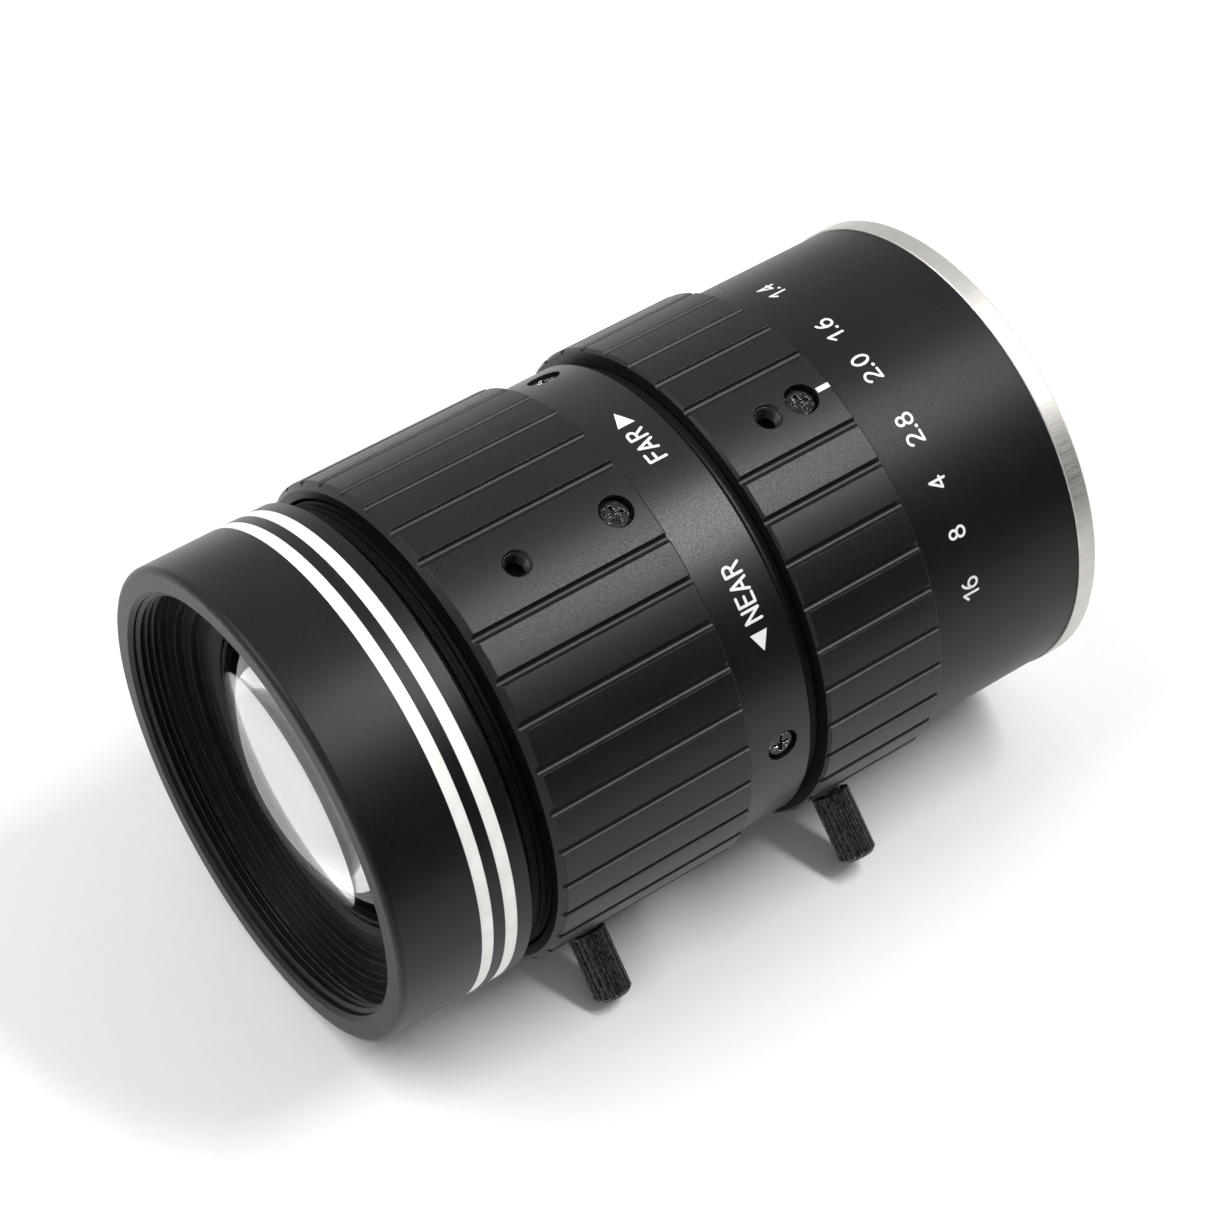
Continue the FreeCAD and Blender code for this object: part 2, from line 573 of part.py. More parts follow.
def blade(layer):
    """Crescent with a tab at its pivot. Each one lies in its own layer."""
    front = PLATE_REAR + RUN + layer * (LEAF + RUN)
    rear = front + LEAF
    heel = -6.0
    body = tube(front, rear, BLADE_OUT, OPEN_R).common(
        sector(front, rear, TAB_R, 90 - BLADE_TAIL, 90 - heel))
    body = body.fuse(tube(front, rear, TAB_R, BLADE_OUT - 0.5).common(
        sector(front, rear, TAB_R, 90 - DRIVE_ANGLE + heel, 90 - heel)))
    foot = PLATE_REAR - PIN_DEEP
    body = body.fuse(Part.makeCylinder(PIN_R, rear - foot, V(foot, *flat(0, PIVOT_R)), AXIS))
    body = body.fuse(Part.makeCylinder(PIN_R, WEB_REAR - RUN - front, V(front, *flat(DRIVE_ANGLE, PIVOT_R)), AXIS))
    body = body.removeSplitter()
    body.rotate(V(0, PIVOT_R, 0), AXIS, BLADE_REST)
    body.rotate(ORIGIN, AXIS, 360.0 / BLADES * layer)
    return body


for k in range(BLADES):
    save(blade(k), "iris_blade_%d" % (k + 1))

# Rear barrel: the fixed sleeve with the stop numbers.
rear_barrel = turned([(BARREL_FRONT, TUBE_R + SEAT), (BARREL_FRONT, BARREL_R - EDGE_BEVEL),
                      (BARREL_FRONT + EDGE_BEVEL, BARREL_R), (0, BARREL_R),
                      (0, TUBE_R + SEAT)])
save(rear_barrel, "rear_barrel")

# Mount ring: closes the back and carries the threaded camera boss.
NOSE_R = REAR_GLASS_R + SEAT + NOSE_WALL
SPIGOT_R = REAR_BORE - SEAT
mount_ring = turned([
    (-SPIGOT, NOSE_R + SEAT), (-SPIGOT, SPIGOT_R), (0, SPIGOT_R),
    (0, MOUNT_R - 0.1), (0.1, MOUNT_R), (FLANGE - 0.3, MOUNT_R),
    (FLANGE, MOUNT_R - 0.3), (FLANGE, BOSS_R),
    (BOSS_END - 0.4, BOSS_R), (BOSS_END, BOSS_R - 0.4), (BOSS_END, NOSE_R + SEAT)])
SINK = HEAD_R - SHANK_R + 0.25
for n, turn in enumerate(THIRDS, 1):
    spot = outward(MOUNT_AZ + turn) * MOUNT_SCREW_R
    seat = spot + AXIS * (FLANGE - SINK)
    mount_ring = mount_ring.cut(Part.makeCylinder(SHANK_R + SEAT, FLANGE + 1, spot - AXIS * 0.5, AXIS))
    mount_ring = mount_ring.cut(Part.makeCone(SHANK_R + SEAT, HEAD_R + 0.1, SINK, seat, AXIS))
    screw = Part.makeCylinder(SHANK_R, FLANGE - SINK + MOUNT_SCREW, spot - AXIS * MOUNT_SCREW, AXIS)
    screw = screw.fuse(Part.makeCone(SHANK_R, HEAD_R, SINK - 0.08, seat, AXIS))
    for dy, dz in ((1.9, 0.4), (0.4, 1.9)):
        bar = Part.makeBox(1, dy, dz, spot + V(FLANGE - 0.5, -dy / 2, -dz / 2))
        screw = screw.cut(bar)
    save(screw.removeSplitter(), "mount_screw_%d" % n)
save(mount_ring, "mount_ring")

# Rear cell: holds the fixed rear glass and shows its nose in the boss.
NOSE_END = BOSS_END - NOSE_SHORT
GLASS_BACK = NOSE_END - KEEPER / 2
GLASS_SEAT = GLASS_BACK - REAR_GLASS_EDGE
CELL_FACE = SHOULDER_X + 1.5
LENS_SEAT = CELL_FACE + 3 * KEEPER + REAR_LENS_EDGE
rear_cell = turned([
    (CELL_FACE, REAR_LENS_R + SEAT), (CELL_FACE, REAR_BORE - SEAT),
    (-SPIGOT, REAR_BORE - SEAT), (-SPIGOT, NOSE_R), (NOSE_END - 0.2, NOSE_R),
    (NOSE_END, NOSE_R - 0.2), (NOSE_END, REAR_GLASS_R + SEAT),
    (GLASS_SEAT, REAR_GLASS_R + SEAT), (GLASS_SEAT, REAR_GLASS_R - 0.8),
    (LENS_SEAT, REAR_GLASS_R - 0.8), (LENS_SEAT, REAR_LENS_R + SEAT)])
save(rear_cell, "rear_cell")
x = LENS_SEAT - REAR_LENS_EDGE
save(lens(x, LENS_SEAT, REAR_LENS_R, 1.4, -0.6), "rear_inner_lens")
save(holder(x - KEEPER, x, REAR_LENS_R, REAR_LENS_R - KEEPER_LIP, x, REAR_LENS_R, 1.4, -1), "rear_inner_ring")
save(lens(GLASS_SEAT, GLASS_BACK, REAR_GLASS_R, -0.4, 0.9), "rear_glass")
rear_ring = turned([(GLASS_BACK, REAR_GLASS_R - 1), (GLASS_BACK, REAR_GLASS_R),
                    (NOSE_END, REAR_GLASS_R), (NOSE_END, REAR_GLASS_R - 0.4)])
rear_ring = rear_ring.cut(ball(GLASS_BACK, REAR_GLASS_R, 0.9, 1))
rear_ring = rear_ring.cut(Part.makeBox(0.6, 1.2, 3 * REAR_GLASS_R, V(NOSE_END - 0.5, -0.6, -1.5 * REAR_GLASS_R)))
save(rear_ring, "rear_glass_ring")


def thumbscrew(x, az):
    """Lock screw with a coarse straight knurl, a bevelled end and a driver
    slot. Its point stops just short of the main tube."""
    points = []
    for k in range(KNURL):
        for step, r in ((0.0, THUMB_HEAD_R), (0.42, THUMB_HEAD_R),
                        (0.6, THUMB_HEAD_R - 0.2), (0.82, THUMB_HEAD_R - 0.2)):
            a = 2 * math.pi * (k + step) / KNURL
            points.append(V(r * math.cos(a), r * math.sin(a), THUMB_START))
    knurl = Part.Face(Part.makePolygon(points + points[:1])).extrude(V(0, 0, THUMB_HEAD))
    envelope = Part.makeCylinder(THUMB_HEAD_R, THUMB_HEAD - THUMB_BEVEL, V(0, 0, THUMB_START))
    envelope = envelope.fuse(Part.makeCone(THUMB_HEAD_R, THUMB_HEAD_R - THUMB_BEVEL, THUMB_BEVEL,
                                           V(0, 0, THUMB_TIP - THUMB_BEVEL)))
    head = knurl.common(envelope)
    head = head.cut(Part.makeBox(3 * THUMB_HEAD_R, 0.7, 2, V(-1.5 * THUMB_HEAD_R, -0.35, THUMB_TIP - 1.0)))
    point = TUBE_R + 0.3
    body = head.fuse(Part.makeCylinder(THUMB_R, THUMB_START + 0.2 - point - 0.3, V(0, 0, point + 0.3)))
    body = body.fuse(Part.makeCone(THUMB_R - 0.35, THUMB_R, 0.3, V(0, 0, point)))
    body = body.removeSplitter()
    body.translate(V(x, 0, 0))
    return around(body, az)


save(thumbscrew(FOCUS_HOLE_X, FOCUS_AZ + THIRDS[2]), "focus_thumbscrew")
save(thumbscrew(IRIS_HOLE_X, IRIS_AZ + THIRDS[2]), "iris_thumbscrew")
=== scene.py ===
import math

import bmesh
import bpy
from mathutils import Matrix, Vector


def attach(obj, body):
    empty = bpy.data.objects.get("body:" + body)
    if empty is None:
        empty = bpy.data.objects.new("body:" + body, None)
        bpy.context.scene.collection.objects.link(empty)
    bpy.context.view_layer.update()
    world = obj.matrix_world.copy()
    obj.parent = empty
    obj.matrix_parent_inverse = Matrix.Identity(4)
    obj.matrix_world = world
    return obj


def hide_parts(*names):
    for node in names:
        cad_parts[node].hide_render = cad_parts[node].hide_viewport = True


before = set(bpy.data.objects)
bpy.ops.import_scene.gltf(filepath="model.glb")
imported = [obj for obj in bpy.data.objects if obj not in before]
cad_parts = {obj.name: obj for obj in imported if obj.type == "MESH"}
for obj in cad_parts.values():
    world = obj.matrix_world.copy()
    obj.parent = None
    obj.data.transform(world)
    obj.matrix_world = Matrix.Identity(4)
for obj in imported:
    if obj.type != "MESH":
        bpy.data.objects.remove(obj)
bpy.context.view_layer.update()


# Main tube and stop ring: the fixed core that both grip rings turn on.
# Aluminium, turned and black anodised, with a fine matt grain. It sits
# inside and shows only in the gaps between the rings.
def socket(group, way, name, kind, value=None):
    made = group.interface.new_socket(name, in_out=way, socket_type=kind)
    if value is not None:
        made.default_value = value
    return made


def link(tree, source, target):
    tree.links.new(source, target)


def maths(tree, operation, first, second=None, third=None):
    """One Math node; its inputs are numbers or sockets."""
    node = tree.nodes.new("ShaderNodeMath")
    node.operation = operation
    for place, value in enumerate((first, second, third)):
        if value is None:
            continue
        if isinstance(value, (int, float)):
            node.inputs[place].default_value = value
        else:
            link(tree, value, node.inputs[place])
    return node.outputs[0]


def noise(tree, where, scale, detail=2.0, roughness=0.5):
    node = tree.nodes.new("ShaderNodeTexNoise")
    node.inputs["Detail"].default_value = detail
    node.inputs["Roughness"].default_value = roughness
    link(tree, where, node.inputs["Vector"])
    if isinstance(scale, (int, float)):
        node.inputs["Scale"].default_value = scale
    else:
        link(tree, scale, node.inputs["Scale"])
    return node.outputs["Fac"]


def spread(tree, value, low, high, to_low=0.0, to_high=1.0):
    node = tree.nodes.new("ShaderNodeMapRange")
    node.interpolation_type = "SMOOTHSTEP"
    link(tree, value, node.inputs["Value"])
    for name, number in (("From Min", low), ("From Max", high), ("To Min", to_low), ("To Max", to_high)):
        if isinstance(number, (int, float)):
            node.inputs[name].default_value = number
        else:
            link(tree, number, node.inputs[name])
    return node.outputs["Result"]


def softened(tree, width):
    """Normal with the corners rounded off; width is in metres."""
    node = tree.nodes.new("ShaderNodeBevel")
    node.samples = 4
    if isinstance(width, (int, float)):
        node.inputs["Radius"].default_value = width
    else:
        link(tree, width, node.inputs["Radius"])
    return node.outputs["Normal"]


def aligned(tree, first, second):
    """Dot product of two directions, 1 where they agree."""
    node = tree.nodes.new("ShaderNodeVectorMath")
    node.operation = "DOT_PRODUCT"
    link(tree, first, node.inputs[0])
    link(tree, second, node.inputs[1])
    return node.outputs["Value"]


def blasted_grain():
    """Bead-blasted and anodised skin: fine grain, faint clouding."""
    group = bpy.data.node_groups.new("blasted_grain", "ShaderNodeTree")
    socket(group, "INPUT", "Grain Scale", "NodeSocketFloat", 5200.0)
    socket(group, "INPUT", "Cloud Scale", "NodeSocketFloat", 160.0)
    socket(group, "OUTPUT", "Grain", "NodeSocketFloat")
    socket(group, "OUTPUT", "Clouds", "NodeSocketFloat")
    given = group.nodes.new("NodeGroupInput")
    result = group.nodes.new("NodeGroupOutput")
    where = group.nodes.new("ShaderNodeTexCoord").outputs["Object"]
    fine = noise(group, where, given.outputs["Grain Scale"], 3.0, 0.6)
    clouds = noise(group, where, given.outputs["Cloud Scale"], 3.0, 0.5)
    link(group, fine, result.inputs["Grain"])
    link(group, clouds, result.inputs["Clouds"])
    return group


def worn_and_highlit_edges():
    """Mask of the corners where handling has polished the skin. The anodised and screw materials also use it to
    paint a highlight along the edges.
    """
    group = bpy.data.node_groups.new("worn_and_highlit_edges", "ShaderNodeTree")
    socket(group, "INPUT", "Width", "NodeSocketFloat", 0.0001)
    socket(group, "INPUT", "Patchiness", "NodeSocketFloat", 900.0)
    socket(group, "OUTPUT", "Rub", "NodeSocketFloat")
    given = group.nodes.new("NodeGroupInput")
    result = group.nodes.new("NodeGroupOutput")
    true = group.nodes.new("ShaderNodeNewGeometry")
    turn = aligned(group, softened(group, given.outputs["Width"]), true.outputs["Normal"])
    corner = spread(group, turn, 0.985, 0.80)
    where = group.nodes.new("ShaderNodeTexCoord").outputs["Object"]
    patches = spread(group, noise(group, where, given.outputs["Patchiness"], 2.0), 0.35, 0.65)
    link(group, maths(group, "MULTIPLY", corner, patches), result.inputs["Rub"])
    return group


def stray_dust():
    """Mask of small pale specks that lie on the surface."""
    group = bpy.data.node_groups.new("stray_dust", "ShaderNodeTree")
    socket(group, "INPUT", "Spacing", "NodeSocketFloat", 330.0)
    socket(group, "INPUT", "Share", "NodeSocketFloat", 0.04)
    socket(group, "OUTPUT", "Dust", "NodeSocketFloat")
    given = group.nodes.new("NodeGroupInput")
    result = group.nodes.new("NodeGroupOutput")
    where = group.nodes.new("ShaderNodeTexCoord").outputs["Object"]
    cells = group.nodes.new("ShaderNodeTexVoronoi")
    link(group, where, cells.inputs["Vector"])
    link(group, given.outputs["Spacing"], cells.inputs["Scale"])
    speck = spread(group, cells.outputs["Distance"], 0.045, 0.02)
    tone = group.nodes.new("ShaderNodeSeparateColor")
    link(group, cells.outputs["Color"], tone.inputs["Color"])
    chosen = maths(group, "LESS_THAN", tone.outputs["Red"], given.outputs["Share"])
    link(group, maths(group, "MULTIPLY", speck, chosen), result.inputs["Dust"])
    return group


def true_round():
    """Normal of a turned skin: straight out from the axis wherever the
    surface faces nearly that way, so that no facet or seam shows."""
    group = bpy.data.node_groups.new("true_round", "ShaderNodeTree")
    socket(group, "INPUT", "Normal", "NodeSocketVector")
    socket(group, "OUTPUT", "Normal", "NodeSocketVector")
    given = group.nodes.new("NodeGroupInput")
    result = group.nodes.new("NodeGroupOutput")
    parts = group.nodes.new("ShaderNodeSeparateXYZ")
    link(group, group.nodes.new("ShaderNodeTexCoord").outputs["Object"], parts.inputs["Vector"])
    spoke = group.nodes.new("ShaderNodeCombineXYZ")
    link(group, parts.outputs["Y"], spoke.inputs["Y"])
    link(group, parts.outputs["Z"], spoke.inputs["Z"])
    turned_out = group.nodes.new("ShaderNodeVectorTransform")
    turned_out.vector_type = "VECTOR"
    turned_out.convert_from = "OBJECT"
    turned_out.convert_to = "WORLD"
    link(group, spoke.outputs["Vector"], turned_out.inputs["Vector"])
    straight_out = group.nodes.new("ShaderNodeVectorMath")
    straight_out.operation = "NORMALIZE"
    link(group, turned_out.outputs["Vector"], straight_out.inputs[0])
    facing = aligned(group, given.outputs["Normal"], straight_out.outputs["Vector"])
    blend = group.nodes.new("ShaderNodeMix")
    blend.data_type = "VECTOR"
    link(group, spread(group, facing, 0.995, 0.9985), blend.inputs["Factor"])
    first, second = [i for i in blend.inputs if i.type == "VECTOR" and i.name in ("A", "B")]
    link(group, given.outputs["Normal"], first)
    link(group, straight_out.outputs["Vector"], second)
    link(group, next(o for o in blend.outputs if o.type == "VECTOR"), result.inputs["Normal"])
    return group


BLASTED_GRAIN = blasted_grain()
WORN_AND_HIGHLIT_EDGES = worn_and_highlit_edges()
STRAY_DUST = stray_dust()
TRUE_ROUND = true_round()


def place_group(tree, group, **values):
    node = tree.nodes.new("ShaderNodeGroup")
    node.node_tree = group
    for name, value in values.items():
        node.inputs[name.replace("_", " ")].default_value = value
    return node


def mixed(tree, share, first, second):
    """Colour between two colours; each is a colour or a socket."""
    node = tree.nodes.new("ShaderNodeMix")
    node.data_type = "RGBA"
    link(tree, share, node.inputs["Factor"])
    for name, value in (("A", first), ("B", second)):
        target = next(i for i in node.inputs if i.name == name and i.type == "RGBA")
        if isinstance(value, tuple):
            target.default_value = (*value, 1.0)
        else:
            link(tree, value, target)
    return next(o for o in node.outputs if o.type == "RGBA")


def bumped(tree, height, distance, normal=None):
    """Normal raised by a height; distance in metres is its full depth."""
    node = tree.nodes.new("ShaderNodeBump")
    node.inputs["Distance"].default_value = distance
    node.inputs["Strength"].default_value = 1.0
    link(tree, height, node.inputs["Height"])
    if normal is not None:
        link(tree, normal, node.inputs["Normal"])
    return node.outputs["Normal"]


def new_material(name):
    """Material with a Principled shader ready to be fed."""
    material = bpy.data.materials.new(name)
    material.use_nodes = True
    tree = material.node_tree
    return material, tree, tree.nodes["Principled BSDF"]


def anodised(name, dark, pale, roughness, grain=5200.0, grain_height=0.000004, edge=0.00009,
             edge_wear_and_highlight_tone=(0.05, 0.048, 0.045), dust_share=0.03, bend=1.36):
    """Anodised aluminium: dyed oxide over a blasted surface. The dye runs from dark to pale in faint clouds and
    corners are rubbed smooth; the paler colour of the corners also paints the highlight along the edges."""
    material, tree, shader = new_material(name)
    skin = place_group(tree, BLASTED_GRAIN, Grain_Scale=grain)
    edge_mask = place_group(tree, WORN_AND_HIGHLIT_EDGES, Width=edge)
    dust = place_group(tree, STRAY_DUST, Share=dust_share)
    tone = mixed(tree, spread(tree, skin.outputs["Clouds"], 0.3, 0.7), dark, pale)
    speckled = mixed(tree, spread(tree, skin.outputs["Grain"], 0.35, 0.75, 0.0, 0.55), tone,
                     tuple(min(1.0, 2.1 * c) for c in pale))
    # Paler colour at the rubbed corners: real wear, and a painted highlight along the edges.
    worn_and_highlit = mixed(tree, edge_mask.outputs["Rub"], speckled, edge_wear_and_highlight_tone)
    link(tree, mixed(tree, dust.outputs["Dust"], worn_and_highlit, (0.28, 0.28, 0.27)), shader.inputs["Base Color"])
    rough = spread(tree, skin.outputs["Grain"], 0.25, 0.75, roughness - 0.05, roughness + 0.06)
    link(tree, maths(tree, "MULTIPLY_ADD", edge_mask.outputs["Rub"], -0.12, rough), shader.inputs["Roughness"])
    round_skin = place_group(tree, TRUE_ROUND)
    link(tree, softened(tree, edge), round_skin.inputs["Normal"])
    link(tree, bumped(tree, skin.outputs["Grain"], grain_height, round_skin.outputs["Normal"]),
         shader.inputs["Normal"])
    shader.inputs["IOR"].default_value = bend
    shader.inputs["Specular Tint"].default_value = (0.96, 0.95, 1.0, 1.0)
    return material


def dress(material, slot_name, *nodes):
    """Give CAD nodes their material."""
    for node in nodes:
        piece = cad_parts[node]
        piece.data.materials.clear()
        piece.data.materials.append(material)


inner_black = anodised("inner_black", (0.0028, 0.0028, 0.003), (0.0045, 0.0045, 0.0049), 0.45, edge=0.00006)
dress(inner_black, "black_inner", "main_tube", "focus_stop_ring")

# Iris unit: housing, retainer and the turning actuator with its cam slots.
# Black anodised like the tube, with lathe lines left on the flat faces.
iris_black = anodised("iris_black", (0.004, 0.004, 0.0044), (0.006, 0.006, 0.0066), 0.44, grain=3600.0,
                      edge=0.00005)
dress(iris_black, "black_inner", "iris_housing", "iris_retainer", "iris_actuator")


# Iris blades: six spring steel leaves with a matt black coat that the
# sliding has burnished a little along the edges.
def coated_steel(name, coat, bare, roughness):
    material, tree, shader = new_material(name)
    skin = place_group(tree, BLASTED_GRAIN, Grain_Scale=2600.0, Cloud_Scale=420.0)
    edge_mask = place_group(tree, WORN_AND_HIGHLIT_EDGES, Width=0.00008, Patchiness=1500.0)
    tone = mixed(tree, spread(tree, skin.outputs["Clouds"], 0.3, 0.7), coat, tuple(1.5 * c for c in coat))
    link(tree, mixed(tree, edge_mask.outputs["Rub"], tone, bare), shader.inputs["Base Color"])
    link(tree, edge_mask.outputs["Rub"], shader.inputs["Metallic"])
    link(tree, spread(tree, skin.outputs["Grain"], 0.3, 0.7, roughness - 0.06, roughness + 0.06),
         shader.inputs["Roughness"])
    link(tree, bumped(tree, skin.outputs["Grain"], 0.000003), shader.inputs["Normal"])
    return material


blade_coat = coated_steel("blade_coat", (0.012, 0.012, 0.013), (0.16, 0.155, 0.15), 0.42)
BLADE_COUNT = 6
dress(blade_coat, "blade_black", *["iris_blade_%d" % (k + 1) for k in range(BLADE_COUNT)])


# Inner lenses: ground and coated glass, held in black cells by threaded
# rings. The coating gives each surface a faint tint of its own.
def coated_glass(name, tint, film, bend=1.62):
    """Polished glass with a coat film nanometres thick, or none at 0. Faint
    smears change the gloss."""
    material, tree, shader = new_material(name)
    skin = place_group(tree, BLASTED_GRAIN, Grain_Scale=700.0, Cloud_Scale=90.0)
    dust = place_group(tree, STRAY_DUST, Spacing=520.0, Share=0.05)
    link(tree, mixed(tree, spread(tree, skin.outputs["Clouds"], 0.35, 0.7), tint,
                     tuple(min(1.0, 1.02 * c) for c in tint)), shader.inputs["Base Color"])
    smear = spread(tree, skin.outputs["Clouds"], 0.45, 0.8, 0.0, 0.015)
    link(tree, maths(tree, "MULTIPLY_ADD", dust.outputs["Dust"], 0.25, smear), shader.inputs["Roughness"])
    shader.inputs["Metallic"].default_value = 0.0
    shader.inputs["Transmission Weight"].default_value = 1.0
    shader.inputs["IOR"].default_value = bend
    if film:
        shader.inputs["Thin Film Thickness"].default_value = film
    shader.inputs["Thin Film IOR"].default_value = 1.38
    return material


inner_glass = coated_glass("inner_glass", (0.97, 0.98, 0.99), 130.0)
dress(inner_glass, "coated_glass", "cell_front_lens", "cell_rear_lens", "rear_inner_lens")
dress(inner_black, "black_inner", "focus_cell", "cell_front_ring", "cell_rear_ring", "rear_inner_ring")

# Front retaining ring: turned aluminium, dyed black and slotted for its
# key. It presses the front glass home.
dress(inner_black, "black_inner", "front_retainer")

# Hood and neck: one turned aluminium piece, blasted and dyed satin black,
# that screws on the focus cell and slides with it.
# Its warm pale edge colour paints the thin highlight along the hood's edges.
hood_black = anodised("hood_black", (0.0032, 0.0031, 0.0037), (0.0046, 0.0045, 0.0052), 0.36, edge=0.00012,
                      edge_wear_and_highlight_tone=(0.10, 0.092, 0.082), bend=1.325)
dress(hood_black, "black_anodised", "front_barrel")


# Painted lines: two bright ivory bands that fill the grooves turned in the
# hood. Enamel, wiped flush, a little uneven along its edges.
MM = 0.001
FLANGE = 2.3
ROLL = 35.55007
SHARP_FROM = 35.0
RING_STEPS = 256


def on_axis(x, azimuth, radius):
    """Point of the lens from its station in mm, 0 at the rear barrel's rear
    edge and negative to the front, its azimuth in degrees and its radius."""
    turn = math.radians(azimuth - ROLL)
    return Vector(((x - FLANGE) * MM, radius * MM * math.sin(turn), radius * MM * math.cos(turn)))


def placed(name, mesh):
    """Object in the scene made from a bmesh, which is freed."""
    data = bpy.data.meshes.new(name)
    mesh.to_mesh(data)
    mesh.free()
    piece = bpy.data.objects.new(name, data)
    bpy.context.scene.collection.objects.link(piece)
    return piece


def finished(name, mesh, material, body):
    """Turn a bmesh into a piece that rides on a body."""
    bmesh.ops.remove_doubles(mesh, verts=mesh.verts, dist=1e-7)
    bmesh.ops.recalc_face_normals(mesh, faces=mesh.faces)
    piece = placed(name, mesh)
    data = piece.data
    data.materials.append(material)
    for polygon in data.polygons:
        polygon.use_smooth = True
    data.set_sharp_from_angle(angle=math.radians(SHARP_FROM))
    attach(piece, body)
    return piece


def turned(profile):
    """Ring swept round the axis from a closed outline of (x, radius)."""
    mesh = bmesh.new()
    rows = []
    for k in range(RING_STEPS):
        rows.append([mesh.verts.new(on_axis(x, 360.0 * k / RING_STEPS, r)) for x, r in profile])
    for k in range(RING_STEPS):
        here, there = rows[k], rows[(k + 1) % RING_STEPS]
        for i in range(len(profile)):
            j = (i + 1) % len(profile)
            mesh.faces.new((here[i], here[j], there[j], there[i]))
    return mesh


def enamel(name, colour, shade, roughness=0.42):
    material, tree, shader = new_material(name)
    skin = place_group(tree, BLASTED_GRAIN, Grain_Scale=2400.0, Cloud_Scale=500.0)
    edge_mask = place_group(tree, WORN_AND_HIGHLIT_EDGES, Width=0.00006, Patchiness=1400.0)
    tone = mixed(tree, spread(tree, skin.outputs["Clouds"], 0.3, 0.75), colour, shade)
    link(tree, mixed(tree, edge_mask.outputs["Rub"], tone, tuple(0.72 * c for c in shade)), shader.inputs["Base Color"])
    link(tree, spread(tree, skin.outputs["Grain"], 0.3, 0.7, roughness - 0.05, roughness + 0.08),
         shader.inputs["Roughness"])
    link(tree, bumped(tree, skin.outputs["Grain"], 0.000006), shader.inputs["Normal"])
    return material


line_enamel = enamel("line_enamel", (0.93, 0.925, 0.90), (0.86, 0.85, 0.81))
HOOD_R = 25.5
HOOD_LINES = (("hood_line_rear", -69.4, -70.8), ("hood_line_front", -72.1, -73.45))
LINE_FOOT = HOOD_R - 0.16
LINE_EDGE = HOOD_R - 0.05
LINE_FACE = HOOD_R - 0.02
LINE_BEVEL = 0.08
for name, rear, front in HOOD_LINES:
    line = turned([(rear, LINE_FOOT), (rear, LINE_EDGE), (rear - LINE_BEVEL, LINE_FACE),
                   (front + LINE_BEVEL, LINE_FACE), (front, LINE_EDGE), (front, LINE_FOOT)])
    finished(name, line, line_enamel, "front_group")


# Front glass: the big lens behind the baffle, more steeply domed than the
# solid. Clear optical glass, its edge bevelled where the ring presses it.
GLASS_FACE = -75.6
GLASS_EDGE = 4.0
GLASS_R = 17.0
GLASS_BEVEL = 0.18
DOME_R = 31.1
BULGE_R = 482.0
CROWN_R = 16.3


def sphere_profile(pole, curve, radius, steps):
    """Points from the axis out to radius on a sphere; a positive curve has
    its centre to the rear of the pole."""
    rows = [radius * k / steps for k in range(steps + 1)]
    return [(pole + curve - math.copysign(math.sqrt(curve * curve - r * r), curve), r) for r in rows]


dome_pole = GLASS_FACE - GLASS_BEVEL - (DOME_R - math.sqrt(DOME_R ** 2 - CROWN_R ** 2))
bulge_pole = GLASS_FACE + GLASS_EDGE + BULGE_R - math.sqrt(BULGE_R ** 2 - GLASS_R ** 2)
dome_profile = sphere_profile(dome_pole, DOME_R, CROWN_R, 40) + [(GLASS_FACE, GLASS_R)]
dome_profile += sphere_profile(bulge_pole, -BULGE_R, GLASS_R, 12)[::-1]
dome = turned(dome_profile)
bmesh.ops.remove_doubles(dome, verts=dome.verts, dist=1e-7)
bmesh.ops.delete(dome, geom=[e for e in dome.edges if not e.link_faces], context="EDGES")
front_coat = coated_glass("front_coat", (0.99, 0.99, 1.0), 0.0, bend=1.7)
front_lens = finished("front_lens", dome, front_coat, "front_group")
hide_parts("front_glass")

# Ground edge of the front glass: the frosted, unpolished rim of the lens,
# a skin of its own just inside the glass that shows through the dome.
ground_edge = enamel("ground_edge", (0.95, 0.95, 0.94), (0.90, 0.90, 0.89), 0.8)
GROUND_ENDS = (GLASS_FACE + 0.03, GLASS_FACE + GLASS_EDGE - 0.03)
GROUND_RADII = (GLASS_R - 0.05, GLASS_R - 0.01)
rim = turned([(GROUND_ENDS[0], GROUND_RADII[0]), (GROUND_ENDS[0], GROUND_RADII[1]),
              (GROUND_ENDS[1], GROUND_RADII[1]), (GROUND_ENDS[1], GROUND_RADII[0])])
finished("glass_edge", rim, ground_edge, "front_group")


# Filter thread: fine screw thread cut inside the hood's mouth. It is a
# helical ridge of triangular section that fades out at both ends.
def helix(base, root, crest, start, end, pitch, steps, sink=0.02):
    """Thread ridge round a spindle. base turns (angle, radius, height) in
    radians and mm into a point; root and crest are radii in mm."""
    mesh = bmesh.new()
    turns = (end - start) / pitch - 1.0
    count = int(round(turns * steps))
    away = math.copysign(sink, root - crest)
    rows = []
    for k in range(count + 1):
        angle = 2 * math.pi * k / steps
        fade = min(1.0, k / (0.2 * steps) + 0.02, (count - k) / (0.2 * steps) + 0.02)
        top = root + (crest - root) * fade
        middle = start + pitch * (0.5 + k / steps)
        outline = ((-0.46, root + away), (-0.44, root), (-0.06, top),
                   (0.06, top), (0.44, root), (0.46, root + away))
        rows.append([mesh.verts.new(base(angle, r, middle + part * pitch)) for part, r in outline])
    for here, there in zip(rows, rows[1:]):
        for i in range(len(here)):
            j = (i + 1) % len(here)
            mesh.faces.new((here[i], here[j], there[j], there[i]))
    mesh.faces.new(rows[0])
    mesh.faces.new(rows[-1][::-1])
    return mesh


def round_lens_axis(angle, radius, height):
    return on_axis(height, math.degrees(angle), radius)


FILTER_ROOT = 22.6
FILTER_CREST = 22.2
FILTER_SPAN = (-82.05, -79.2)
FILTER_PITCH = 0.75
filter_thread = helix(round_lens_axis, FILTER_ROOT, FILTER_CREST, *FILTER_SPAN, FILTER_PITCH, 160)
finished("filter_thread", filter_thread, hood_black, "front_group")
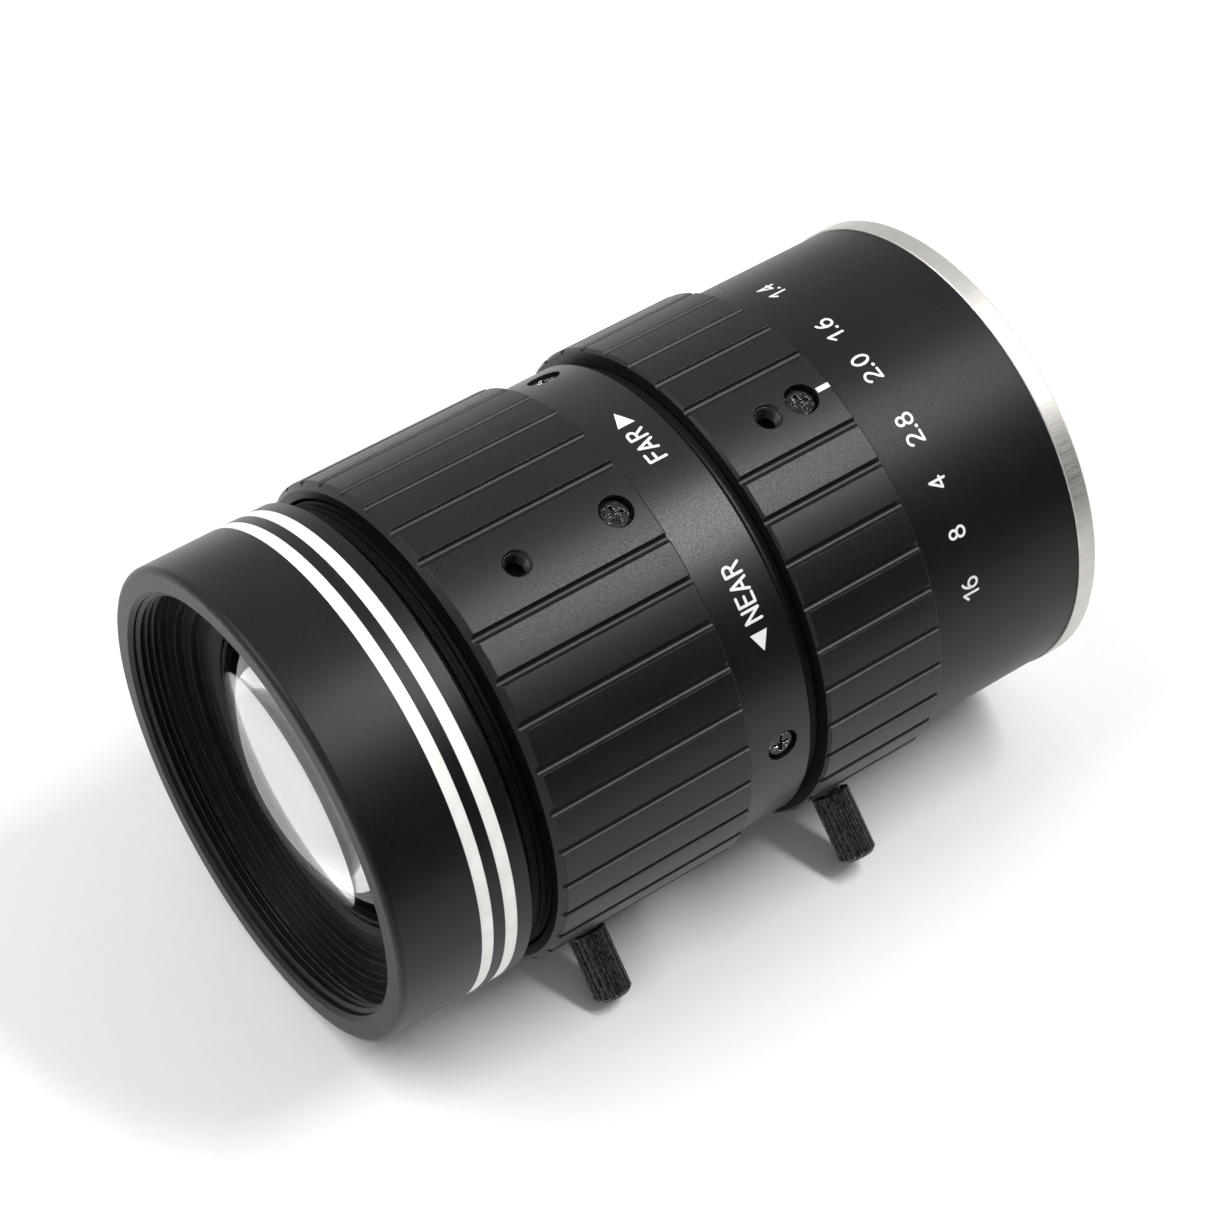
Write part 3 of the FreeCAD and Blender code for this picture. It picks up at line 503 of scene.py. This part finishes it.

# Neck sleeve: a thin skin over the ridges of the neck behind the hood, in the recess between hood and focus ring.
# It wears a darker, less glossy copy of the hood's black, partly a duller finish and partly painted shade of that
# recess.
neck_shaded_black = anodised("neck_shaded_black", (0.0016, 0.0016, 0.0018), (0.0026, 0.0026, 0.0029), 0.55, edge=0.00005,
                      dust_share=0.0, bend=1.14)
NECK = (-67.5, -62.5)
NECK_R = 23.92
NECK_RIDGES = 3
FIRST_RIDGE = 0.9
RIDGE_STEP = 1.1
RIDGE = 0.25
RIDGE_FOOT = 0.35
RIDGE_CREST = 0.2
neck_profile = [(NECK[1], NECK_R - 0.05), (NECK[1], NECK_R)]
for k in range(NECK_RIDGES):
    x = NECK[0] + FIRST_RIDGE + RIDGE_STEP * (NECK_RIDGES - 1 - k)
    neck_profile += [(x + RIDGE_FOOT, NECK_R), (x + RIDGE_CREST, NECK_R + RIDGE),
                     (x - RIDGE_CREST, NECK_R + RIDGE), (x - RIDGE_FOOT, NECK_R)]
neck_profile += [(NECK[0] + 0.01, NECK_R), (NECK[0] + 0.01, NECK_R - 0.05)]
finished("neck_sleeve", turned(neck_profile), neck_shaded_black, "front_group")

# Focus ring: knurled grip ring with long open channels. Its panels carry
# a stop screw and the threaded holes for the lock screw.
RING_R = 26.1
FOCUS_AZ = 18.8
IRIS_AZ = 21.8
grip_black = anodised("grip_black", (0.0034, 0.0033, 0.0039), (0.005, 0.0049, 0.0056), 0.38, edge=0.00010,
                      edge_wear_and_highlight_tone=(0.055, 0.053, 0.05))
dress(grip_black, "grip_black", "focus_ring")


def radial_spindle(x, azimuth):
    """Spindle along a radius of the lens, for threads of the small holes."""
    out = on_axis(x, azimuth, 1.0) - on_axis(x, azimuth, 0.0)
    out.normalize()
    side = Vector((1.0, 0.0, 0.0))
    other = out.cross(side)
    foot = on_axis(x, azimuth, 0.0)

    def point(angle, radius, height):
        return foot + out * (height * MM) + (side * math.cos(angle) + other * math.sin(angle)) * (radius * MM)
    return point


# Threads of the small holes: two free tapped holes in each grip ring, one
# beside the sunk screw and one a third of a turn on.
# The pale edge colour paints the highlights on the thread crests.
tapped_black = anodised("tapped_black", (0.006, 0.006, 0.0065), (0.010, 0.010, 0.0105), 0.30, edge=0.00008,
                        edge_wear_and_highlight_tone=(0.30, 0.29, 0.28))
HOLE_R = 1.25
HOLE_PITCH = 0.45
HOLE_CREST = 1.05
HOLE_SPAN = (23.5, RING_R - 0.15)
FOCUS_HOLE_X = -56.5
IRIS_HOLE_X = -26.2
THIRD = 120
for name, x, azimuth, body in (("focus_spare_thread", FOCUS_HOLE_X, FOCUS_AZ, "focus_grip"),
                               ("focus_far_thread", FOCUS_HOLE_X, FOCUS_AZ + THIRD, "focus_grip"),
                               ("iris_spare_thread", IRIS_HOLE_X, IRIS_AZ, "iris_grip"),
                               ("iris_far_thread", IRIS_HOLE_X, IRIS_AZ + THIRD, "iris_grip")):
    thread = helix(radial_spindle(x, azimuth), HOLE_R, HOLE_CREST, *HOLE_SPAN, HOLE_PITCH, 32)
    finished(name, thread, tapped_black, body)


# Small cross-head screws: steel, blackened and oiled, sunk in their holes. The bit has bruised the recess, and
# pale metal spots and edges paint the glints on the heads.
def blackened(name, dark, pale, roughness, bruise, bare, metal, bend):
    """Oxide-blacked steel; bruise is the depth of its dents in metres, bare the brightness of the painted glint
    spots and metal that of the sound skin. The glint spots and edges are painted in pale metal."""
    material, tree, shader = new_material(name)
    skin = place_group(tree, BLASTED_GRAIN, Grain_Scale=2600.0, Cloud_Scale=1500.0)
    edge_mask = place_group(tree, WORN_AND_HIGHLIT_EDGES, Width=0.00012, Patchiness=2500.0)
    tone = mixed(tree, spread(tree, skin.outputs["Clouds"], 0.3, 0.7), dark, pale)
    painted_glint = maths(tree, "MULTIPLY", spread(tree, skin.outputs["Grain"], 0.61, 0.67), bare)
    shown = maths(tree, "MAXIMUM", edge_mask.outputs["Rub"], painted_glint)
    # Pale metal on the spots and edges: painted glints.
    link(tree, mixed(tree, shown, tone, (0.62, 0.61, 0.59)), shader.inputs["Base Color"])
    link(tree, maths(tree, "MULTIPLY_ADD", shown, 0.95 - metal, metal), shader.inputs["Metallic"])
    link(tree, spread(tree, skin.outputs["Clouds"], 0.3, 0.7, roughness - 0.04, roughness + 0.08),
         shader.inputs["Roughness"])
    link(tree, bumped(tree, skin.outputs["Grain"], bruise, softened(tree, 0.0001)), shader.inputs["Normal"])
    shader.inputs["IOR"].default_value = bend
    return material


screw_black = blackened("screw_black", (0.007, 0.007, 0.0075), (0.018, 0.0175, 0.017), roughness=0.10,
                        bruise=0.000014, bare=0.8, metal=0.05, bend=1.33)
dress(screw_black, "screw_black", "focus_stop_screw", "iris_drive_screw", "mid_screw_1", "mid_screw_2",
      "mid_screw_3", "mount_screw_1", "mount_screw_2", "mount_screw_3")

# Lock thumbscrews: turned steel with a coarse straight knurl and a driver
# slot, black oxide finish, satin on the ribs.
thumb_black = blackened("thumb_black", (0.006, 0.006, 0.0065), (0.010, 0.010, 0.0105), roughness=0.34,
                        bruise=0.000008, bare=0.0, metal=0.35, bend=1.5)
dress(thumb_black, "screw_black", "focus_thumbscrew", "iris_thumbscrew")

# Mid ring: fixed sleeve between the grips with the focus direction words.
# The words are painted in white on the satin black skin.
mid_black = anodised("mid_black", (0.0034, 0.0033, 0.0039), (0.005, 0.0049, 0.0056), 0.34, edge=0.00012,
                     edge_wear_and_highlight_tone=(0.09, 0.086, 0.08), grain_height=0.000007, bend=1.39)
dress(mid_black, "black_anodised", "mid_ring")


def arc(cx, cy, rx, ry, start, end, steps=12):
    """Points of an elliptic arc in the unit square of a letter."""
    return [(cx + rx * math.cos(math.radians(start + (end - start) * k / steps)),
             cy + ry * math.sin(math.radians(start + (end - start) * k / steps))) for k in range(steps + 1)]


def straight(x0, y0, x1, y1, steps=4):
    return [(x0 + (x1 - x0) * k / steps, y0 + (y1 - y0) * k / steps) for k in range(steps + 1)]


# Letters in a unit square: the room each takes, and its strokes in turn.
LETTERS = {
    "0": (0.66, [arc(0.26, 0.5, 0.24, 0.48, 0, 360, 32)]),
    "1": (0.56, [straight(0.02, 0.72, 0.30, 0.98), straight(0.30, 0.98, 0.30, 0.02)]),
    "2": (0.66, [arc(0.26, 0.72, 0.24, 0.26, 165, -35, 16) + [(0.34, 0.40), (0.14, 0.20), (0.03, 0.03)],
                 straight(0.03, 0.02, 0.52, 0.02)]),
    "4": (0.66, [straight(0.40, 0.02, 0.40, 0.98), straight(0.40, 0.98, 0.0, 0.30),
                 straight(0.0, 0.30, 0.52, 0.30)]),
    "6": (0.66, [arc(0.26, 0.30, 0.24, 0.28, 0, 360, 28), arc(0.40, 0.32, 0.38, 0.66, 180, 100, 12)]),
    "8": (0.66, [arc(0.26, 0.75, 0.20, 0.23, 0, 360, 24), arc(0.26, 0.27, 0.25, 0.25, 0, 360, 24)]),
    ".": (0.34, [straight(0.10, 0.05, 0.12, 0.05, 1)]),
    "F": (0.66, [straight(0.06, 0.02, 0.06, 0.98), straight(0.06, 0.98, 0.50, 0.98),
                 straight(0.06, 0.54, 0.44, 0.54)]),
    "A": (0.76, [straight(0.0, 0.02, 0.29, 0.98), straight(0.29, 0.98, 0.58, 0.02),
                 straight(0.10, 0.32, 0.48, 0.32)]),
    "R": (0.72, [straight(0.06, 0.02, 0.06, 0.98), straight(0.06, 0.98, 0.30, 0.98),
                 arc(0.30, 0.76, 0.22, 0.22, 90, -90), straight(0.30, 0.54, 0.06, 0.54),
                 straight(0.30, 0.54, 0.54, 0.02)]),
    "N": (0.78, [straight(0.06, 0.02, 0.06, 0.98), straight(0.06, 0.98, 0.58, 0.02),
                 straight(0.58, 0.02, 0.58, 0.98)]),
    "E": (0.70, [straight(0.06, 0.02, 0.06, 0.98), straight(0.06, 0.98, 0.52, 0.98),
                 straight(0.06, 0.51, 0.46, 0.51), straight(0.06, 0.02, 0.52, 0.02)]),
}
LETTER_GAP = 0.14
DOT_SIZE = 1.25
CAP_TURNS = (-1.05, -0.52, 0.0, 0.52, 1.05)
PAINT_SUNK = 0.04
PAINT_PROUD = 0.012


def outline_of(path, half):
    """Whether a stroke closes on itself, and its left and right edge."""
    closed = math.dist(path[0], path[-1]) < 1e-6
    points = path[:-1] if closed else path
    left, right = [], []
    for k, p in enumerate(points):
        a = points[k - 1] if k or closed else p
        b = points[(k + 1) % len(points)] if k + 1 < len(points) or closed else p
        size = math.dist(a, b)
        nx, ny = (a[1] - b[1]) / size * half, (b[0] - a[0]) / size * half
        left.append((p[0] + nx, p[1] + ny))
        right.append((p[0] - nx, p[1] - ny))
    return closed, left, right


def paint_stroke(mesh, path, half, put, low, high):
    """One stroke as a thin closed shell on the surface. put turns a point
    of the letter and a radius into a place on the lens."""
    closed, left, right = outline_of(path, half)
    if closed:
        rings = []
        for loop, r in ((left, high), (right, high), (right, low), (left, low)):
            rings.append([mesh.verts.new(put(p, r)) for p in loop])
        for k in range(len(left)):
            j = (k + 1) % len(left)
            for here, there in zip(rings, rings[1:] + rings[:1]):
                mesh.faces.new((here[k], here[j], there[j], there[k]))
        return
    edge = list(right)
    for end, before in ((path[-1], path[-2]), (path[0], path[1])):
        ahead = math.atan2(end[1] - before[1], end[0] - before[0])
        edge += [(end[0] + half * math.cos(ahead + t), end[1] + half * math.sin(ahead + t)) for t in CAP_TURNS]
        if end is path[-1]:
            edge += left[::-1]
    top = [mesh.verts.new(put(p, high)) for p in edge]
    foot = [mesh.verts.new(put(p, low)) for p in edge]
    count = len(path)
    second = count + len(CAP_TURNS)
    last = second + count - 1
    for row, flip in ((top, 1), (foot, -1)):
        for k in range(count - 1):
            mesh.faces.new((row[k], row[k + 1], row[last - 1 - k], row[last - k])[::flip])
        mesh.faces.new(row[count - 1:second + 1][::flip])
        mesh.faces.new((row[last:] + [row[0]])[::flip])
    for k in range(len(edge)):
        j = (k + 1) % len(edge)
        mesh.faces.new((top[k], foot[k], foot[j], top[j]))


def word_width(word, width):
    return sum(LETTERS[c][0] for c in word) * width - LETTER_GAP * width


def painted_word(word, x, azimuth, radius, height, width, stroke):
    """Word round the lens with its letter tops to the front. x is the
    middle of the letters, azimuth the middle of the word."""
    mesh = bmesh.new()

    def put(p, r):
        return on_axis(x - p[1], azimuth + math.degrees(p[0] / radius), r)

    start = -word_width(word, width) / 2
    for letter in word:
        advance, strokes = LETTERS[letter]
        for path in strokes:
            drawn = [(start + across * width, (up - 0.5) * height) for across, up in path]
            half = stroke / 2 * (DOT_SIZE if letter == "." else 1.0)
            paint_stroke(mesh, drawn, half, put, radius - PAINT_SUNK, radius + PAINT_PROUD)
        start += advance * width
    return mesh


def painted_patch(mesh, corners, radius, rows=6):
    """Filled shape between two edges, each a pair of (x, azimuth)."""
    (a0, a1), (b0, b1) = corners
    levels = []
    for r in (radius + PAINT_PROUD, radius - PAINT_SUNK):
        grid = []
        for k in range(rows + 1):
            t = k / rows
            row = []
            for (p, q) in ((a0, b0), (a1, b1)):
                row.append(mesh.verts.new(on_axis(p[0] + (q[0] - p[0]) * t, p[1] + (q[1] - p[1]) * t, r)))
            grid.append(row)
        levels.append(grid)
    top, foot = levels
    for k in range(rows):
        mesh.faces.new((top[k][0], top[k + 1][0], top[k + 1][1], top[k][1]))
        mesh.faces.new((foot[k][0], foot[k][1], foot[k + 1][1], foot[k + 1][0]))
        mesh.faces.new((top[k][0], foot[k][0], foot[k + 1][0], top[k + 1][0]))
        mesh.faces.new((top[k][1], top[k + 1][1], foot[k + 1][1], foot[k][1]))
    mesh.faces.new((top[0][0], top[0][1], foot[0][1], foot[0][0]))
    mesh.faces.new((top[-1][1], top[-1][0], foot[-1][0], foot[-1][1]))
    return mesh


mark_paint = enamel("mark_paint", (0.84, 0.84, 0.83), (0.74, 0.74, 0.73))
MID_R = 25.1
WORD_X = -37.8
WORD_HEIGHT = 1.95
WORD_WIDTH = 2.15
WORD_STROKE = 0.30
ARROW_FOOT = (WORD_X - 1.0, WORD_X + 1.0)
ARROW_TIP = (WORD_X - 0.03, WORD_X + 0.03)
WORDS = (("far_word", "FAR", 30.6, 37.7, 42.4), ("near_word", "NEAR", -9.05, -18.4, -22.8))
for name, word, azimuth, foot, tip in WORDS:
    mesh = painted_word(word, WORD_X, azimuth, MID_R, WORD_HEIGHT, WORD_WIDTH, WORD_STROKE)
    painted_patch(mesh, ([(x, foot) for x in ARROW_FOOT], [(x, tip) for x in ARROW_TIP]), MID_R)
    finished(name, mesh, mark_paint, "fixed_barrel")

# Iris ring: the second grip ring, with a white index line beside its sunk
# screw that points at the stop numbers.
dress(grip_black, "grip_black", "iris_ring")
INDEX_X = (-20.3, -18.8)
INDEX_AZ = IRIS_AZ + 0.1
INDEX_HALF = 0.62
INDEX_SIDES = (INDEX_AZ - INDEX_HALF, INDEX_AZ + INDEX_HALF)
index = painted_patch(bmesh.new(), [[(x, side) for x in INDEX_X] for side in INDEX_SIDES], RING_R)
finished("index_line", index, mark_paint, "iris_grip")

# Rear barrel: fixed sleeve with the painted stop numbers of the iris, from
# the widest to the smallest opening.
barrel_black = anodised("barrel_black", (0.0034, 0.0033, 0.0039), (0.005, 0.0049, 0.0056), 0.39, edge=0.00012,
                        edge_wear_and_highlight_tone=(0.07, 0.066, 0.06), bend=1.30)
dress(barrel_black, "black_anodised", "rear_barrel")
BARREL_R = 25.0
NUMBER_X = -13.7
NUMBER_HEIGHT = 1.85
NUMBER_WIDTH = 2.12
NUMBER_STROKE = 0.28
STOPS = (("1.4", 57.1), ("1.6", 35.7), ("2.0", 22.3), ("2.8", 5.1), ("4", -8.4), ("8", -20.7), ("16", -35.0))
for number, azimuth in STOPS:
    mesh = painted_word(number, NUMBER_X, azimuth, BARREL_R, NUMBER_HEIGHT, NUMBER_WIDTH, NUMBER_STROKE)
    finished("stop_" + number.replace(".", "_"), mesh, mark_paint, "fixed_barrel")


# Mount ring: bright turned ring that closes the back and carries the
# threaded camera boss. Nickel plated, with the lathe's lines left on it.
def turning_lines():
    """Height of the fine lines a lathe tool leaves round the axis."""
    group = bpy.data.node_groups.new("turning_lines", "ShaderNodeTree")
    socket(group, "INPUT", "Lines per Metre", "NodeSocketFloat", 9000.0)
    socket(group, "INPUT", "Chatter per Radian", "NodeSocketFloat", 45.0)
    socket(group, "OUTPUT", "Lines", "NodeSocketFloat")
    socket(group, "OUTPUT", "Chatter", "NodeSocketFloat")
    given = group.nodes.new("NodeGroupInput")
    result = group.nodes.new("NodeGroupOutput")
    where = group.nodes.new("ShaderNodeTexCoord").outputs["Object"]
    parts = group.nodes.new("ShaderNodeSeparateXYZ")
    link(group, where, parts.inputs["Vector"])
    round_axis = maths(group, "ARCTAN2", parts.outputs["Y"], parts.outputs["Z"])
    radius = maths(group, "SQRT", maths(group, "ADD", maths(group, "POWER", parts.outputs["Y"], 2.0),
                                        maths(group, "POWER", parts.outputs["Z"], 2.0)))
    across = group.nodes.new("ShaderNodeCombineXYZ")
    link(group, maths(group, "MULTIPLY", parts.outputs["X"], given.outputs["Lines per Metre"]), across.inputs["X"])
    link(group, maths(group, "MULTIPLY", radius, given.outputs["Lines per Metre"]), across.inputs["Y"])
    link(group, round_axis, across.inputs["Z"])
    along = group.nodes.new("ShaderNodeCombineXYZ")
    link(group, maths(group, "MULTIPLY", round_axis, given.outputs["Chatter per Radian"]), along.inputs["X"])
    link(group, maths(group, "MULTIPLY", parts.outputs["X"], 250.0), along.inputs["Y"])
    link(group, noise(group, across.outputs["Vector"], 1.0, 2.0), result.inputs["Lines"])
    link(group, noise(group, along.outputs["Vector"], 1.0, 3.0), result.inputs["Chatter"])
    return group


TURNING_LINES = turning_lines()


def nickel_plate(name, tone, shade, roughness):
    material, tree, shader = new_material(name)
    marks = place_group(tree, TURNING_LINES, Chatter_per_Radian=110.0)
    skin = place_group(tree, BLASTED_GRAIN, Grain_Scale=2000.0, Cloud_Scale=140.0)
    edge_mask = place_group(tree, WORN_AND_HIGHLIT_EDGES, Width=0.00012, Patchiness=700.0)
    streaks = mixed(tree, spread(tree, marks.outputs["Chatter"], 0.3, 0.75), tone, shade)
    clouds = mixed(tree, spread(tree, skin.outputs["Clouds"], 0.35, 0.75, 0.0, 0.5), streaks,
                   tuple(0.85 * c for c in shade))
    link(tree, mixed(tree, edge_mask.outputs["Rub"], clouds, (0.86, 0.84, 0.80)), shader.inputs["Base Color"])
    shader.inputs["Metallic"].default_value = 1.0
    rough = spread(tree, marks.outputs["Chatter"], 0.3, 0.7, roughness - 0.05, roughness + 0.07)
    link(tree, maths(tree, "MULTIPLY_ADD", marks.outputs["Lines"], 0.06, rough), shader.inputs["Roughness"])
    lines = maths(tree, "MULTIPLY_ADD", marks.outputs["Chatter"], 0.6, marks.outputs["Lines"])
    facing = tree.nodes.new("ShaderNodeNewGeometry")
    round_skin = place_group(tree, TRUE_ROUND)
    link(tree, facing.outputs["Normal"], round_skin.inputs["Normal"])
    link(tree, bumped(tree, lines, 0.000006, round_skin.outputs["Normal"]), shader.inputs["Normal"])
    return material


nickel = nickel_plate("nickel", (0.65, 0.633, 0.597), (0.57, 0.556, 0.522), 0.43)
dress(nickel, "nickel", "mount_ring", "cam_pin_1", "cam_pin_2")

# Camera thread: 1 inch by 32 turns per inch on the boss. A copy of the plain
# turned ring has the thread cut into it as one helical groove.
BOSS_R = 12.7
BOSS_PITCH = 25.4 / 32
BOSS_DEPTH = 0.45
GROOVE_SPAN = (2.55, 6.65)
GROOVE_OUTSIDE = BOSS_R + 0.02
GROOVE_SINK = 0.3
FLAT_FACE = 0.999
RING_SHARP_FROM = 12.0
plain_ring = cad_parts["mount_ring"]
ring = bmesh.new()
ring.from_mesh(plain_ring.data)
ring.transform(plain_ring.matrix_world)
bmesh.ops.remove_doubles(ring, verts=ring.verts, dist=1e-6)
bmesh.ops.recalc_face_normals(ring, faces=ring.faces)
threaded_ring = placed("mount_ring_threaded", ring)
groove = helix(round_lens_axis, GROOVE_OUTSIDE, BOSS_R - BOSS_DEPTH, *GROOVE_SPAN, BOSS_PITCH, 96, GROOVE_SINK)
bmesh.ops.recalc_face_normals(groove, faces=groove.faces)
cutter = placed("groove", groove)
cut = threaded_ring.modifiers.new("groove", "BOOLEAN")
cut.operation = "DIFFERENCE"
cut.solver = "EXACT"
cut.object = cutter
bpy.context.view_layer.update()
cut_ring = bpy.data.meshes.new_from_object(threaded_ring.evaluated_get(bpy.context.evaluated_depsgraph_get()))
threaded_ring.modifiers.clear()
threaded_ring.data = cut_ring
bpy.data.objects.remove(cutter)
plain_normals = cut_ring.attributes.get("custom_normal")
if plain_normals:
    cut_ring.attributes.remove(plain_normals)
cut_ring.materials.clear()
cut_ring.materials.append(nickel)
for polygon in cut_ring.polygons:
    polygon.use_smooth = abs(polygon.normal.x) < FLAT_FACE
cut_ring.set_sharp_from_angle(angle=math.radians(RING_SHARP_FROM))
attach(threaded_ring, "fixed_barrel")
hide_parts("mount_ring")

# Rear cell and rear glass: black nose inside the boss with the small rear
# lens and its slotted ring.
dress(inner_black, "black_inner", "rear_cell", "rear_glass_ring")
rear_coat = coated_glass("rear_coat", (0.97, 0.99, 0.98), 110.0)
dress(rear_coat, "coated_glass", "rear_glass")

# Table and card: a white painted board, and a black card on the right that
# only the gloss of the lens shows. It fades to white towards its top.
TABLE_Z = -0.0261
TABLE_X = (-0.7, 0.9)
TABLE_Y = (-0.9, 0.9)
CARD_X = (-0.20, 0.5)
CARD_Y = -0.20
CARD_FADE = (0.12, 0.23)


def sheet(name, corners, colour, shade, fade=None):
    """Flat stage panel between four corners, of matt painted board. fade
    gives two heights between which its colour runs out into white."""
    mesh = bmesh.new()
    mesh.faces.new([mesh.verts.new(corner) for corner in corners])
    panel = placed(name, mesh)
    paint, tree, shader = new_material(name + "_paint")
    skin = place_group(tree, BLASTED_GRAIN, Grain_Scale=1400.0, Cloud_Scale=6.0)
    tone = mixed(tree, spread(tree, skin.outputs["Grain"], 0.3, 0.7), colour, shade)
    if fade:
        height = tree.nodes.new("ShaderNodeSeparateXYZ")
        link(tree, tree.nodes.new("ShaderNodeTexCoord").outputs["Object"], height.inputs["Vector"])
        tone = mixed(tree, spread(tree, height.outputs["Z"], *fade), tone, (0.9, 0.9, 0.9))
    link(tree, tone, shader.inputs["Base Color"])
    shader.inputs["Roughness"].default_value = 0.6
    shader.inputs["Specular IOR Level"].default_value = 0.2
    panel.data.materials.append(paint)
    return panel


def oblong(first, second):
    """The four corners of an oblong in turn, from its two ranges."""
    return ((first[0], second[0]), (first[1], second[0]), (first[1], second[1]), (first[0], second[1]))


table = sheet("table", [(x, y, TABLE_Z) for x, y in oblong(TABLE_X, TABLE_Y)],
              (0.95, 0.95, 0.95), (0.97, 0.97, 0.97))
card = sheet("dark_card", [(x, CARD_Y, z) for x, z in oblong(CARD_X, (TABLE_Z, CARD_FADE[1]))],
             (0.012, 0.012, 0.012), (0.018, 0.018, 0.018), CARD_FADE)
card.visible_camera = False


# Light: a large soft lamp from the upper left and a narrow one overhead,
# and a pale surround that the picture shows as plain white.
LAMP_AIM = Vector((-0.04, 0.0, 0.0))
WORLD_FACING = (-0.75, 0.25)
WORLD_LIGHT = (0.92, 0.60)
WORLD_GLOSS = (0.8, 0.8, 0.8)
WORLD_SEEN = (1.0, 1.0, 1.0)


def soft_lamp(name, direction, distance, size, watts):
    """Area lamp at a distance from the lens; its width lies along x."""
    lamp = bpy.data.lights.new(name, "AREA")
    lamp.shape = "RECTANGLE"
    lamp.size, lamp.size_y = size
    lamp.energy = watts
    piece = bpy.data.objects.new(name, lamp)
    away = Vector(direction).normalized()
    piece.location = LAMP_AIM + away * distance
    along = (Vector((1.0, 0.0, 0.0)) - away * away.x).normalized()
    piece.rotation_mode = "QUATERNION"
    piece.rotation_quaternion = Matrix((along, away.cross(along), away)).transposed().to_quaternion()
    bpy.context.scene.collection.objects.link(piece)


soft_lamp("lamp_left", direction=(-0.52, 0.30, 0.80), distance=0.7, size=(0.5, 0.5), watts=2.8)
soft_lamp("lamp_above", direction=(0.405, -0.30, 0.855), distance=0.55, size=(0.07, 0.26), watts=1.9)

world = bpy.data.worlds.new("surround")
bpy.context.scene.world = world
world.use_nodes = True
tree = world.node_tree
tree.nodes.clear()
direction = tree.nodes.new("ShaderNodeTexCoord").outputs["Generated"]
parts = tree.nodes.new("ShaderNodeSeparateXYZ")
link(tree, direction, parts.inputs["Vector"])
facing = spread(tree, parts.outputs["Y"], *WORLD_FACING, *WORLD_LIGHT)
surround = tree.nodes.new("ShaderNodeBackground")
link(tree, facing, surround.inputs["Strength"])
plain = tree.nodes.new("ShaderNodeBackground")
plain.inputs["Strength"].default_value = 1.0
seen = tree.nodes.new("ShaderNodeLightPath")
link(tree, mixed(tree, seen.outputs["Is Camera Ray"], WORLD_GLOSS, WORLD_SEEN), plain.inputs["Color"])
shown = maths(tree, "MAXIMUM", seen.outputs["Is Camera Ray"],
              maths(tree, "MAXIMUM", seen.outputs["Is Glossy Ray"], seen.outputs["Is Transmission Ray"]))
blend = tree.nodes.new("ShaderNodeMixShader")
link(tree, shown, blend.inputs["Fac"])
link(tree, surround.outputs["Background"], blend.inputs[1])
link(tree, plain.outputs["Background"], blend.inputs[2])
output = tree.nodes.new("ShaderNodeOutputWorld")
link(tree, blend.outputs["Shader"], output.inputs["Surface"])

# Camera: high at the front left, where the photographer stood, with a long
# lens. Its place is in metres, in the frame of the part.
CAMERA_AT = Vector((-0.17972, -0.18497, 0.25885))
CAMERA_RIGHT = Vector((0.80868, -0.58821, 0.0072))
CAMERA_UP = Vector((0.43448, 0.60550, 0.66678))
CAMERA_LENS = 102.23
camera_data = bpy.data.cameras.new("camera")
camera_data.sensor_width = 36.0
camera_data.lens = CAMERA_LENS
camera_data.clip_start = 0.01
camera = bpy.data.objects.new("camera", camera_data)
right = CAMERA_RIGHT.normalized()
back = right.cross(CAMERA_UP).normalized()
turn = Matrix((right, back.cross(right), back)).transposed().to_4x4()
camera.matrix_world = Matrix.Translation(CAMERA_AT) @ turn
bpy.context.scene.collection.objects.link(camera)
bpy.context.scene.camera = camera
bpy.context.scene.view_settings.view_transform = "Standard"
